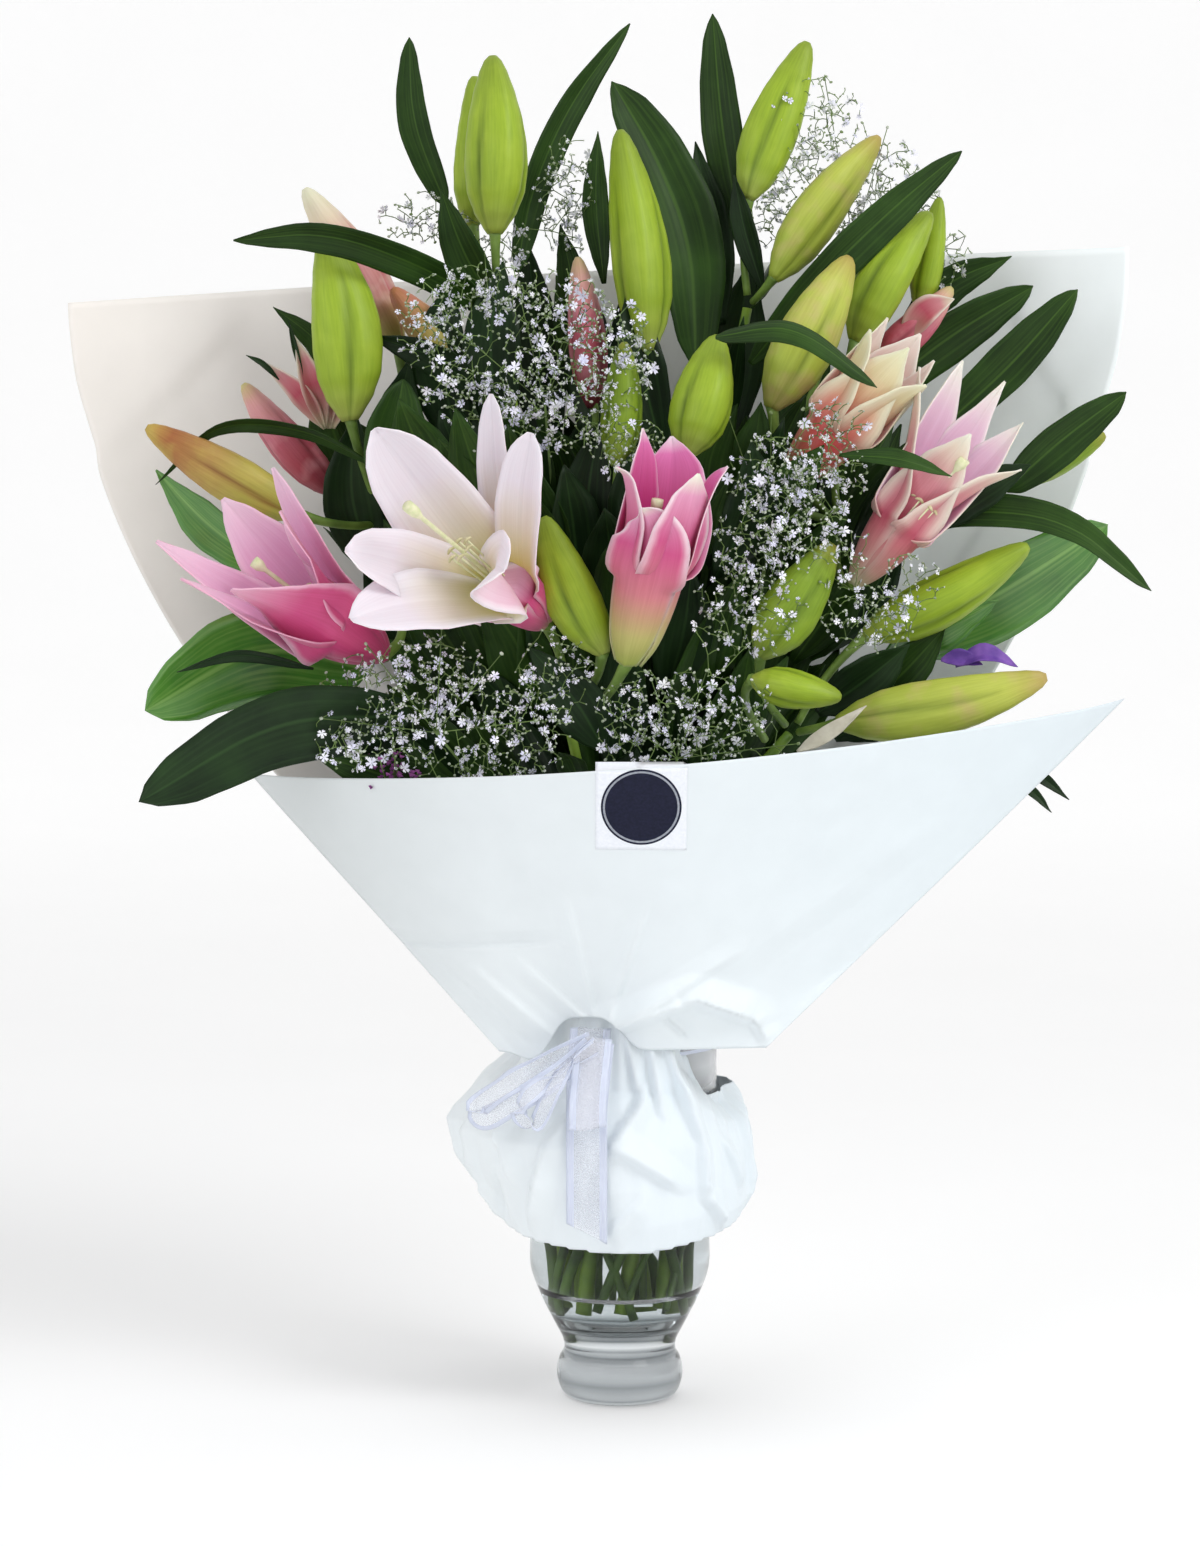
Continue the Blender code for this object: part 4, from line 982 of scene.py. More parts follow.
def growStemLeaves(stemLines, obstacles, skins):
    # lily leaves stand in a spiral: each one is turned 137.5 degrees from the one below it
    chance = random.Random(stemLeafLook["seed"])
    mesh = startMesh()
    grown = 0
    for number, line in enumerate(stemLines.values()):
        length = sum((b - a).length for a, b in zip(line, line[1:]))
        steps = int(length / (stemLeafLook["step"] * millimetre))
        for k in range(steps):
            share = (k + 1) / steps
            start, up = along(line, share), heading(line, share)
            reach = chance.uniform(*stemLeafLook["length"]) * millimetre
            width = chance.uniform(*stemLeafLook["width"]) * millimetre
            lean, droop = chance.uniform(0.4, 0.8), chance.random()
            if start.z < stemLeafLook["lowest"] * millimetre:
                continue
            turn = math.radians(137.5) * k + number
            out = outAt(turn)
            root = start + out * (3 * millimetre)
            middle = root + (up * 0.36 + out * (lean * 0.36)) * reach
            tip = root + (up * (0.75 - 0.3 * droop) + out * lean) * reach
            path = [root, middle, tip]
            if isInside(tip, 0.004) and isClear(obstacles, [along(path, s / 6) for s in range(1, 7)], 0.004):
                look = {"seed": k, "keel": 0.35, "rows": 14, "columns": 5, "skin": grown % 2}
                spreadLeaf(mesh, path, up.cross(out), width, look)
                grown += 1
    finishSheet("stemLeaves", mesh, skins, [], leafThickness)
    print("stem leaves:", grown)


def growFiller(obstacles, skins):
    # broad dark leaves point out from the tie and close the gaps between the flowers
    chance = random.Random(fillerLook["seed"])
    mesh = startMesh()
    grown = 0
    for k in range(fillerLook["tries"]):
        spans = zip(fillerLook["low"], fillerLook["high"])
        tip = Vector([chance.uniform(a, b) for a, b in spans]) * millimetre
        reach = chance.uniform(*fillerLook["length"]) * millimetre
        width = chance.uniform(*fillerLook["width"]) * millimetre
        bow = Vector((chance.uniform(-1, 1), chance.uniform(-1, 1), chance.uniform(-0.3, 1))) * (0.12 * reach)
        turn = chance.uniform(-0.7, 0.7)
        way = (tip - tie).normalized()
        if math.hypot(tip.x / 0.17, tip.y / 0.1) > 0.55 + (tip.z - 0.32) * 2.6:
            continue
        start = tip - way * reach
        path = [start, (start + tip) / 2 + bow, tip]
        side, front = sideways(way, Vector((0, -1, 0)))
        over = side * math.cos(turn) + front * math.sin(turn)
        rims = [along(path, s / 6) + over * (width * 0.4 * sign) for sign in (-1, 1) for s in (2, 4, 5)]
        line = [along(path, s / 6) for s in range(1, 7)]
        if isClear(obstacles, line, 0.005) and all(obstacles.find_nearest(p)[3] > 0.003 for p in rims):
            look = {"seed": k, "keel": 0.25, "rows": 12, "columns": 5, "skin": grown % 3 != 0}
            spreadLeaf(mesh, path, over, width, look)
            grown += 1
    finishSheet("fillerLeaves", mesh, skins, [], leafThickness)
    print("filler leaves:", grown)


def placeLoose(name, blades, skins, keel, rowCount):
    mesh = startMesh()
    for number, (line, width, degrees, skin) in enumerate(blades):
        path = [Vector(p) * millimetre for p in line]
        side, front = sideways((path[-1] - path[0]).normalized(), Vector((0, -1, 0)))
        turn = math.radians(degrees)
        look = {"seed": number, "keel": keel, "rows": rowCount, "columns": 9, "skin": skin}
        spreadLeaf(mesh, path, side * math.cos(turn) + front * math.sin(turn), width * millimetre, look)
    finishSheet(name, mesh, skins, [], leafThickness)


# gypsophila: hair-thin branching twigs with open and closed florets, in clouds between the flowers; a cloud
# is its middle, its half-widths and the share of its florets that are open, and it grows on the nearest spray
sprayLook = {"twig": 0.24, "density": 0.034, "most": 3300, "floret": (0.9, 1.7), "clump": 0.28,
             "closed": (0.4, 0.8), "clear": 1.6, "seed": 11}
sprayClouds = [
    ((96, 34, 628), (32, 12, 38), 0.30), ((134, 32, 602), (30, 12, 30), 0.30),
    ((156, 30, 574), (22, 10, 18), 0.30), ((74, 34, 600), (16, 9, 22), 0.35),
    ((112, 34, 588), (26, 9, 18), 0.35), ((-26, 30, 604), (18, 11, 32), 0.40),
    ((-98, 26, 592), (24, 10, 14), 0.35), ((-60, 24, 580), (20, 8, 16), 0.40),
    ((-32, -52, 540), (30, 12, 26), 0.38), ((-36, -66, 500), (38, 13, 26), 0.41),
    ((-2, -64, 520), (22, 12, 30), 0.40), ((2, -84, 480), (20, 10, 20), 0.37),
    ((-64, -40, 556), (24, 10, 14), 0.31), ((84, -88, 466), (36, 14, 24), 0.37),
    ((80, -98, 434), (40, 12, 26), 0.41), ((60, -104, 402), (30, 10, 24), 0.40),
    ((120, -88, 400), (26, 10, 20), 0.31), ((140, -84, 418), (16, 8, 14), 0.31),
    ((100, -84, 492), (20, 9, 12), 0.31), ((-92, -116, 372), (36, 10, 22), 0.41),
    ((-56, -118, 352), (34, 9, 24), 0.42), ((-112, -110, 344), (32, 8, 18), 0.38),
    ((-66, -110, 330), (40, 8, 12), 0.34), ((10, -116, 352), (26, 9, 24), 0.40),
    ((44, -114, 358), (34, 9, 20), 0.41), ((34, -112, 336), (44, 8, 12), 0.37),
    ((-84, -46, 538), (26, 10, 28), 0.4), ((-74, -62, 506), (24, 10, 18), 0.4),
    ((-132, -106, 338), (20, 7, 14), 0.4), ((-126, -102, 362), (20, 8, 20), 0.4),
    ((-30, -112, 374), (20, 8, 22), 0.4),
]


def petalFloret():
    # a double floret, 1 unit in radius: five notched petals round a raised middle; only a source for copies
    mesh = bmesh.new()
    centre = mesh.verts.new((0, 0, 0.1))
    for i in range(5):
        turn = 2 * math.pi * i / 5

        def spot(radius, off, height):
            return mesh.verts.new((radius * math.cos(turn + off), radius * math.sin(turn + off), height))

        left, right, notch = spot(0.72, -0.46, 0.3), spot(0.72, 0.46, 0.3), spot(0.84, 0, 0.36)
        mesh.faces.new((centre, left, notch, right))
        mesh.faces.new((left, spot(1.02, -0.25, 0.42), notch))
        mesh.faces.new((notch, spot(1.02, 0.25, 0.42), right))
        mesh.faces.new((spot(0.18, 0.1, 0.15), spot(0.18, 1.1, 0.15), spot(0.5, 0.6, 0.6)))
    return newObject("openFloret", toMesh("openFloret", mesh))


def closedFloret():
    mesh = bmesh.new()
    bmesh.ops.create_icosphere(mesh, subdivisions=1, radius=1)
    for vert in mesh.verts:
        vert.co.z *= 1.35
    return newObject("closedFloret", toMesh("closedFloret", mesh))


def sprayTree():
    # twigs along the edges; a floret, open or closed, on each point whose size for it is above zero
    tree = bpy.data.node_groups.new("gypsophilaSpray", "GeometryNodeTree")
    kinds = {"Geometry": "Geometry", "Open Floret": "Object", "Closed Floret": "Object",
             "Twig Radius": "Float", "Seed": "Int", "Twig Material": "Material",
             "Open Material": "Material", "Closed Material": "Material"}
    for name, kind in kinds.items():
        tree.interface.new_socket(name, in_out="INPUT", socket_type="NodeSocket" + kind)
    tree.interface.new_socket("Geometry", in_out="OUTPUT", socket_type="NodeSocketGeometry")
    given = addNode(tree, "NodeGroupInput").outputs
    curve = addNode(tree, "GeometryNodeMeshToCurve", {"Mesh": given["Geometry"]})
    ring = addNode(tree, "GeometryNodeCurvePrimitiveCircle",
                   {"Resolution": 4, "Radius": given["Twig Radius"]})
    twigs = addNode(tree, "GeometryNodeCurveToMesh",
                    {"Curve": curve.outputs[0], "Profile Curve": ring.outputs[0], "Fill Caps": True})
    parts = [addNode(tree, "GeometryNodeSetMaterial",
                     {"Geometry": twigs.outputs[0], "Material": given["Twig Material"]})]
    for name in ("Open", "Closed"):
        size = addNode(tree, "GeometryNodeInputNamedAttribute", {"Name": name.lower()}, data_type="FLOAT")
        chosen = addNode(tree, "FunctionNodeCompare", {0: size.outputs[0], 1: 0.0001}, data_type="FLOAT",
                         operation="GREATER_THAN")
        sites = addNode(tree, "GeometryNodeMeshToPoints",
                        {"Mesh": given["Geometry"], "Selection": chosen.outputs[0]})
        source = addNode(tree, "GeometryNodeObjectInfo", {"Object": given[name + " Floret"]})
        # florets face the front, each tilted its own way
        turn = addNode(tree, "FunctionNodeRandomValue",
                       {0: (0.6, -0.7, 0.0), 1: (2.3, 0.7, 6.28), "Seed": given["Seed"]},
                       data_type="FLOAT_VECTOR")
        copies = addNode(tree, "GeometryNodeInstanceOnPoints",
                         {"Points": sites.outputs[0], "Instance": source.outputs["Geometry"],
                          "Rotation": turn.outputs[0], "Scale": size.outputs[0]})
        real = addNode(tree, "GeometryNodeRealizeInstances", {"Geometry": copies.outputs[0]})
        parts.append(addNode(tree, "GeometryNodeSetMaterial",
                             {"Geometry": real.outputs[0], "Material": given[name + " Material"]}))
    joined = addNode(tree, "GeometryNodeJoinGeometry")
    for part in parts:
        tree.links.new(part.outputs[0], joined.inputs[0])
    addNode(tree, "NodeGroupOutput", {"Geometry": joined.outputs[0]})
    return tree


def twigEnds(node):
    mesh = wholeMesh(node)
    found = [middle for middle, radius, _ in roundCaps(mesh)
             if radius > 2 * millimetre and middle.z > vaseTop]
    mesh.free()
    return found


def growTwigs(node, clouds, obstacles, look):
    # twigs spread from the CAD spray's own ends into its clouds, each from the nearest twig so far
    chance = random.Random(look["seed"] + int(node[-1]))
    ends = twigEnds(node)
    points = nodePoints(node)
    aim = sum(ends, Vector()) / len(ends) - Vector((0, 0, 30 * millimetre))
    crown = min((Vector(p) for p in points), key=lambda p: (p - aim).length)
    places, links, opened, closed = [crown], [], [0.0], [0.0]

    def addPlace(place, start, openSize=0.0, closedSize=0.0):
        places.append(place)
        opened.append(openSize * millimetre)
        closed.append(closedSize * millimetre)
        links.append((start, len(places) - 1))
        return len(places) - 1

    for end in ends:
        last = 0
        for step in range(1, 6):
            last = addPlace(crown.lerp(end, step / 5), last, 0.0, 0.9 if step == 5 else 0.0)
    sites = []
    for middle, half, openShare in clouds:
        count = int(look["density"] * half[0] * half[1] * half[2])
        for _ in range(count):
            way = Vector([chance.gauss(0, 1) for _ in range(3)]).normalized() * chance.random() ** 0.42
            site = Vector([m + w * h for m, w, h in zip(middle, way, half)]) * millimetre
            sites.append((site, chance.random() < openShare))
    chance.shuffle(sites)
    del sites[look["most"]:]
    sites.sort(key=lambda entry: int(min((entry[0] - q).length for q in places[:26]) / 0.012))
    taken = np.empty((len(sites) * 2 + 40, 3))
    taken[:len(places)] = [p[:] for p in places]
    for site, isOpen in sites:
        openSize, closedSize = chance.uniform(*look["floret"]), chance.uniform(*look["closed"])
        openSize *= 1.9 if chance.random() < look["clump"] else 1
        swing, sag = chance.uniform(-0.2, 0.2), chance.uniform(0.02, 0.16)
        if not isInside(site, 0.004) or obstacles.find_nearest(site)[3] < look["clear"] * millimetre:
            continue
        near = int(np.argmin(((taken[:len(places)] - np.array(site)) ** 2).sum(1)))
        way = site - places[near]
        bend = places[near] + way * 0.5 + Vector((way.z * swing, 0, way.length * sag))
        elbow = addPlace(bend, near)
        addPlace(site, elbow, openSize if isOpen else 0.0, 0.0 if isOpen else closedSize)
        taken[len(places) - 2] = bend
        taken[len(places) - 1] = site
    return places, links, opened, closed, crown


def makeSprays(obstacles, twigMaterial, openMaterial, closedMaterial):
    tree = sprayTree()
    inputs = {item.name: item.identifier for item in tree.interface.items_tree if item.in_out == "INPUT"}
    sources = petalFloret(), closedFloret()
    nodes = sorted(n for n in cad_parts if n.startswith("gypsophila_"))
    hearts = {node: sum(twigEnds(node), Vector()) / len(twigEnds(node)) for node in nodes}
    clouds = {node: [] for node in nodes}
    for cloud in sprayClouds:
        middle = Vector(cloud[0]) * millimetre
        clouds[min(nodes, key=lambda node: (hearts[node] - middle).length)].append(cloud)
    for node in nodes:
        places, links, opened, closed, crown = growTwigs(node, clouds[node], obstacles, sprayLook)
        data = bpy.data.meshes.new(node)
        data.from_pydata([p[:] for p in places], links, [])
        for name, sizes in (("open", opened), ("closed", closed)):
            data.attributes.new(name, "FLOAT", "POINT").data.foreach_set("value", sizes)
        twigs = newObject(node + "Twigs", data)
        change = twigs.modifiers.new("spray", "NODES")
        change.node_group = tree
        values = {"Open Floret": sources[0], "Closed Floret": sources[1],
                  "Twig Radius": sprayLook["twig"] * millimetre, "Seed": int(node[-1]),
                  "Twig Material": twigMaterial, "Open Material": openMaterial,
                  "Closed Material": closedMaterial}
        for name, value in values.items():
            change[inputs[name]] = value
        bpy.context.view_layer.update()
        graph = bpy.context.evaluated_depsgraph_get()
        grown = bpy.data.meshes.new_from_object(twigs.evaluated_get(graph))
        bpy.data.objects.remove(twigs)
        mesh = startMesh()
        mesh.from_mesh(grown)
        outline = Outline(node, Vector())
        trunk = [c for ring, c in zip(outline.rings, outline.centres)
                 if len(ring) <= 7 and c.z < crown.z - 0.02]
        materials = [twigMaterial, openMaterial, closedMaterial]
        for face in mesh.faces:
            face.material_index = materials.index(grown.materials[face.material_index])
        addTube(mesh, trunk[:13] + [crown], lambda share: (1.5 - 0.9 * share) * millimetre, 8, 40)
        print(node, "has", sum(size > 0 for size in opened), "open florets and", len(mesh.faces), "faces")
        finishPiece("gypsophilaSpray" + node[-1], mesh, materials, [node], recalculate=False)
    for source in sources:
        bpy.data.objects.remove(source)


# purple statice at the wrap's left edge: middle of each tuft, its radius and number of florets
staticeLook = {"floret": (1.2, 2.0), "seed": 21,
               "tufts": [((-110, -99, 326), 9, 46), ((-98, -99, 322), 6, 20)]}


def makeStatice(petalMaterial, twigMaterial):
    chance = random.Random(staticeLook["seed"])
    mesh = startMesh()
    for middle, radius, count in staticeLook["tufts"]:
        root = Vector(middle) * millimetre + Vector((0, 0.014, -0.022))
        for _ in range(count):
            spot = Vector([m + chance.gauss(0, radius * 0.5) for m in middle]) * millimetre
            size = chance.uniform(*staticeLook["floret"]) * millimetre
            out = (spot - root).normalized()
            side, front = sideways(out, Vector((0.1, -1, 0.1)))
            ring = []
            for k in range(6):
                turn = math.pi * k / 3 + chance.uniform(-0.3, 0.3)
                reach = size * (1 if k % 2 == 0 else 0.55)
                away = side * math.cos(turn) + front * math.sin(turn)
                ring.append(spot + away * reach + out * (size * 0.6))
            neck = [spot + (p - spot - out * (size * 0.6)) * 0.2 for p in ring]
            addGrid(mesh, [neck, ring], True, 0, None, spot - out * (size * 0.4), None)
            if chance.random() < 0.3:
                addTube(mesh, [root, root.lerp(spot, 0.6) + Vector((0, 0, 0.002)), spot],
                        lambda share: 0.0003, 4, 5, 1)
    finishPiece("purpleStatice", mesh, [petalMaterial, twigMaterial], [], recalculate=False)


# white wrapping paper; a fold is (x, z) to (x, z), how wide it is and how far it stands out, in millimetres
paperLook = {"thickness": 0.28, "rows": 110, "columns": 210}
wrapLook = {"neck": 16, "neckShare": 0.08, "from": 196, "round": 212, "flare": 1.9,
            "pleat": 2.2, "billow": 4.0, "crumple": 0.7}
frontLook = {"lift": 17, "droop": 4, "billow": 2.4, "crumple": 0.5, "curlRight": 14, "curlLeft": 5}
frontFolds = [
    ((-118, 238), (-28, 243), 6, -2.6), ((-12, 196), (-50, 232), 7, 2.6), ((-12, 197), (-26, 262), 7, 2.2),
    ((-8, 197), (12, 262), 7, 2.0), ((-12, 195), (36, 214), 13, 10.0), ((36, 214), (64, 203), 13, 9.5),
    ((-4, 198), (56, 238), 9, 3.0), ((64, 203), (72, 190), 9, 3.0), ((-30, 190), (-70, 226), 8, 2.4),
    ((-46, 190), (-96, 236), 8, -1.8), ((20, 206), (34, 192), 7, -3.0), ((60, 236), (150, 300), 26, 2.2),
    ((-150, 300), (-60, 252), 30, 2.0), ((-178, 318), (-120, 238), 9, 3.0),
    ((90, 214), (160, 262), 16, -1.6), ((-60, 330), (-40, 262), 26, 1.6), ((120, 345), (90, 280), 30, 1.4),
]
backFolds = [
    ((-60, 250), (-190, 470), 22, 4.0), ((-40, 250), (-110, 520), 26, 3.6), ((0, 250), (-20, 560), 30, 3.0),
    ((40, 250), (90, 540), 26, 3.6), ((60, 250), (180, 500), 24, 4.0), ((-90, 300), (-250, 520), 16, -2.4),
    ((80, 290), (235, 520), 16, -2.4), ((-276, 470), (-200, 545), 30, 3.0),
    ((200, 560), (250, 470), 26, 3.0),
]


def foldLift(x, z, folds):
    # how far the folds near a place lift the sheet: each is a ridge, steeper on one flank, faded at its ends
    lift = 0.0
    for (x0, z0), (x1, z1), width, height in folds:
        dx, dz = x1 - x0, z1 - z0
        reach = ((x - x0) * dx + (z - z0) * dz) / (dx * dx + dz * dz)
        t = max(0.0, min(1.0, reach))
        away = math.hypot(x - x0 - t * dx, z - z0 - t * dz)
        across = ((x - x0) * dz - (z - z0) * dx) / math.hypot(dx, dz)
        flank = width * (0.75 - 0.3 * max(-1.0, min(1.0, across / (0.3 * width))))
        if away < flank:
            fade = min(1.0, 3.2 * (t + 0.12), 3.2 * (1.12 - t))
            lift += height * fade * (1 - away / flank) ** 1.15
    return lift


def bowed(ends, share):
    # a place on the smooth bow through three points
    first, middle, last = ends
    return (first * ((1 - share) * (1 - 2 * share)) + middle * (4 * share * (1 - share))
            + last * (share * (2 * share - 1)))


def longest(lines):
    return max(sum((b - a).length for a, b in zip(line, line[1:])) for line in lines)


def makePaper(name, rows, material, node, wrap=False, offset=0.0):
    mesh = startMesh()
    addGrid(mesh, rows, wrap)
    area = sum(face.calc_area() for face in mesh.faces)
    width, length = longest([row + row[:1] for row in rows] if wrap else rows), longest(list(zip(*rows)))
    piece = finishSheet(name, mesh, [material], [node], paperLook["thickness"], offset)
    # no fold stretches paper, so the cut has the area that the folded sheet has
    return piece


def sheetGrid(placeAt):
    columns, rows = paperLook["columns"], paperLook["rows"]
    return [[placeAt(j / columns, i / rows) for j in range(columns + 1)] for i in range(rows + 1)]


def makeBackSheet(material):
    # a round neck under the ribbon, then the sheet opens like a tulip to its wide top edge
    points = nodePoints("paper_back_sheet")
    left, right = farthest(points, (-1, 0, 0.3)), farthest(points, (1, 0, 0.3))
    centre = points[np.abs(points[:, 0] - (left.x + right.x) / 2) < 22 * millimetre]
    middle = farthest(centre, (0, 0, 1))
    footHeight = points[:, 2].min()
    footPoints = points[points[:, 2] < footHeight + 2 * millimetre]
    footRadius = float(np.hypot(footPoints[:, 0], footPoints[:, 1]).mean())
    neck, neckShare = wrapLook["neck"] * millimetre, wrapLook["neckShare"]

    def placeAt(share, rise):
        turn = math.radians(wrapLook["from"] - wrapLook["round"] * share)
        out = outAt(turn)
        foot = out * footRadius + Vector((0, 0, footHeight))
        if rise < neckShare:
            return foot + Vector((0, 0, neck * rise / neckShare))
        climb = (rise - neckShare) / (1 - neckShare)
        top = bowed([left, middle, right], share)
        place = foot.lerp(top, 1 - (1 - climb) ** wrapLook["flare"])
        place.z = foot.z + neck + (top.z - foot.z - neck) * climb
        pleats = wrapLook["pleat"] * math.cos(turn * 11 + 1.3 * math.sin(turn * 3))
        pleats *= math.exp(-climb * 5) * min(climb * 12, 1)
        billow = wrapLook["billow"] * noise.noise(Vector((share * 3.1, climb * 2.3, 5.0))) * climb
        crumple = wrapLook["crumple"] * noise.noise(Vector((share * 12, climb * 9, 2.0))) * climb
        fold = foldLift(place.x * 1000, place.z * 1000, backFolds) * min(1, climb * 3)
        return place + out * ((pleats + billow + crumple - fold) * millimetre)

    return makePaper("paperBackSheet", sheetGrid(placeAt), material, "paper_back_sheet")


def makeFrontSheet(material):
    # a broad bow across the front, drawn together at its foot by the ribbon
    points = nodePoints("paper_front_sheet")
    topLeft, topRight = farthest(points, (-1, 0, 0)), farthest(points, (1, 0, 0))
    low = points[points[:, 2] < topLeft.z - 0.04]
    footLeft, footRight = farthest(low, (-0.6, 0, -1)), farthest(low, (0.6, 0, -1))
    gatherX = footLeft.x + (footRight.x - footLeft.x) * 0.39
    middleFoot = farthest(points[np.abs(points[:, 0] - gatherX) < 0.014], (0, 0, -1))
    middleTop = Vector(((topLeft.x + topRight.x) / 2 - 0.003, farthest(points, (0, -1, 0)).y, 0))

    def placeAt(share, rise):
        top = bowed([topLeft, middleTop, topRight], share)
        top.z = topLeft.z + (topRight.z - topLeft.z) * share ** 1.5
        foot = bowed([footLeft, middleFoot, footRight], share)
        gather = math.exp(-((share - 0.37) / 0.15) ** 4)
        droop = math.exp(-((share - 0.14) / 0.07) ** 2)
        foot.z = footLeft.z + (footRight.z - footLeft.z) * share + (
            frontLook["lift"] * gather - frontLook["droop"] * droop) * millimetre
        place = foot.lerp(top, rise)
        billow = frontLook["billow"] * noise.noise(Vector((share * 2.4, rise * 2.0, 9.0)))
        billow *= math.sin(math.pi * min(rise * 1.2, 1))
        crumple = frontLook["crumple"] * noise.noise(Vector((share * 13, rise * 9, 3.0)))
        curl = frontLook["curlRight"] * max(0, (share - 0.93) / 0.07) ** 2 * rise ** 3
        curl += frontLook["curlLeft"] * max(0, (0.05 - share) / 0.05) ** 2 * rise
        lift = foldLift(place.x * 1000, place.z * 1000, frontFolds)
        place.y += (curl - billow - crumple - lift) * millimetre
        return place

    return makePaper("paperFrontSheet", sheetGrid(placeAt), material, "paper_front_sheet")


# the skirt's folds lie on its unrolled front: distance round from the middle of the front, and height
skirtLook = {"dip": 0.158, "columns": 300, "rows": 90, "folds": [
    ((-80, 168), (-85, 112), 9, 5.4), ((-85, 112), (-77, 96), 9, 5.0), ((-29, 150), (-47, 96), 10, 6.0),
    ((-10, 178), (-30, 144), 7, 4.0), ((14, 166), (-3, 141), 9, 6.5), ((-3, 141), (30, 118), 10, 6.0),
    ((31, 172), (43, 138), 8, 6.4), ((43, 138), (45, 112), 8, 6.0), ((46, 112), (62, 96), 8, 5.0),
    ((14, 200), (21, 156), 7, 7.0), ((2, 200), (9, 166), 6, 4.6), ((24, 190), (36, 160), 6, 5.0),
    ((-64, 122), (-75, 98), 7, -3.4), ((-24, 190), (-66, 156), 8, 4.6), ((62, 140), (78, 112), 9, 4.6),
    ((-44, 170), (-60, 132), 8, -3.4), ((10, 112), (-8, 92), 9, 2.6), ((92, 156), (104, 100), 9, 4.6),
    ((-104, 160), (-112, 100), 9, 4.6), ((-62, 150), (-52, 120), 9, 4.0), ((-12, 128), (-18, 96), 8, -2.6)],
    "seed": 4, "backFolds": 16, "collar": 61 * millimetre, "collarTop": 205 * millimetre, "round": 68}


def readSkirt():
    # the outer wall of the CAD skirt: its radius by height, for every degree round the vase
    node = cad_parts["paper_skirt"]
    faces = [list(p.vertices) for p in node.data.polygons]
    tree = BVHTree.FromPolygons([v.co.copy() for v in node.data.vertices], faces)
    low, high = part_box("paper_skirt")
    walls = []
    for degree in range(360):
        out = outAt(math.radians(degree))
        found = []
        for height in np.linspace(low.z, high.z, 90):
            hit = tree.ray_cast(Vector((0, 0, height)) + out * 0.2, -out, 0.2)[0]
            if hit is not None and hit.xy.length > 0.045:
                found.append((height, hit.xy.length))
        walls.append(found)
    return walls


def makeSkirt(material):
    walls = readSkirt()
    chance = random.Random(skirtLook["seed"])
    folds = list(skirtLook["folds"])
    for k in range(skirtLook["backFolds"]):
        start = 110 + 230 * k / skirtLook["backFolds"]
        shift, height = chance.uniform(-24, 24), chance.uniform(1.6, 3.4)
        folds.append(((start, chance.uniform(150, 182)), (start + shift, chance.uniform(96, 120)), 8, height))
    rows = []
    for i in range(skirtLook["rows"] + 1):
        down = i / skirtLook["rows"]
        row = []
        for j in range(skirtLook["columns"]):
            turn = 2 * math.pi * j / skirtLook["columns"]
            wall = walls[int(round(math.degrees(turn))) % 360]
            off = (turn + math.pi / 2 + math.pi) % (2 * math.pi) - math.pi  # 0 at the middle of the front
            # gathers stand up under the tie's front, and the top dips at the right, where the rim shows
            collar = max(0, min(1, (off + 1.15) / 0.25, (0.62 - off) / 0.2))
            dip = max(0, min(1, (off - 0.7) / 0.3, (2.6 - off) / 0.3))
            foot, top = wall[0][0], wall[-1][0] + (skirtLook["collarTop"] - wall[-1][0]) * collar
            top -= max(0, top - skirtLook["dip"]) * dip
            height = top + (foot - top) * down
            radius = float(np.interp(height, [h for h, _ in wall], [r for _, r in wall]))
            if height > 0.155:
                radius += collar * max(0, skirtLook["collar"] - radius)
            unrolled = off * skirtLook["round"]
            pleat = (1.7 * (1 - down) ** 3 + 0.15) * math.cos(off * 31 + 1.4 * math.sin(off * 5))
            pleat *= min(1, down * 9 + 0.1)
            dent = 2.6 * noise.noise(Vector((math.cos(turn) * 2.1, math.sin(turn) * 2.1, down * 2.2)))
            lift = sum(foldLift(unrolled + whole, height * 1000, folds)
                       for whole in (0, skirtLook["round"] * 2 * math.pi))
            calm = min(1, down * 6 + 0.1)
            radius += (pleat + (dent + lift) * calm) * millimetre
            row.append(outAt(turn) * radius + Vector((0, 0, height)))
        rows.append(row)
    return makePaper("paperSkirt", rows, material, "paper_skirt", True, -1)


# ribbon: sheer organza with a satin edge along each side
ribbonLook = {"columns": 16, "satin": 3, "thickness": 0.18, "width": 20.0, "stand": 0.9, "slant": 5.0,
              "short": 4.0, "relaxed": 10, "tailRows": 80, "bandRows": 160, "crushed": 11.2}


def surfaceOf(piece):
    graph = bpy.context.evaluated_depsgraph_get()
    return BVHTree.FromObject(piece, graph)


def frontOf(tree, x, z, spare):
    # the front of a surface at a place, as seen from the front
    hit = tree.ray_cast(Vector((x, -0.4, z)), Vector((0, 1, 0)))[0]
    return hit.y if hit is not None else spare


def addRibbonGrid(mesh, grid):
    edge, columns = ribbonLook["satin"], ribbonLook["columns"]
    addGrid(mesh, grid, slotRule=lambda i, j: 1 if j < edge or j >= columns - edge else 0)


def ribbonAlong(path, sides, width, rows, wave):
    # rows of points across a ribbon that follows a path; sides says which way its width points
    grid = []
    for i in range(rows + 1):
        share = i / rows
        centre, way, side = along(path, share), heading(path, share), along(sides, share)
        over = (side - way * side.dot(way)).normalized()
        normal = over.cross(way)
        us = [2 * j / ribbonLook["columns"] - 1 for j in range(ribbonLook["columns"] + 1)]
        grid.append([centre + over * (u * width / 2) + normal * wave(share, u) for u in us])
    return grid


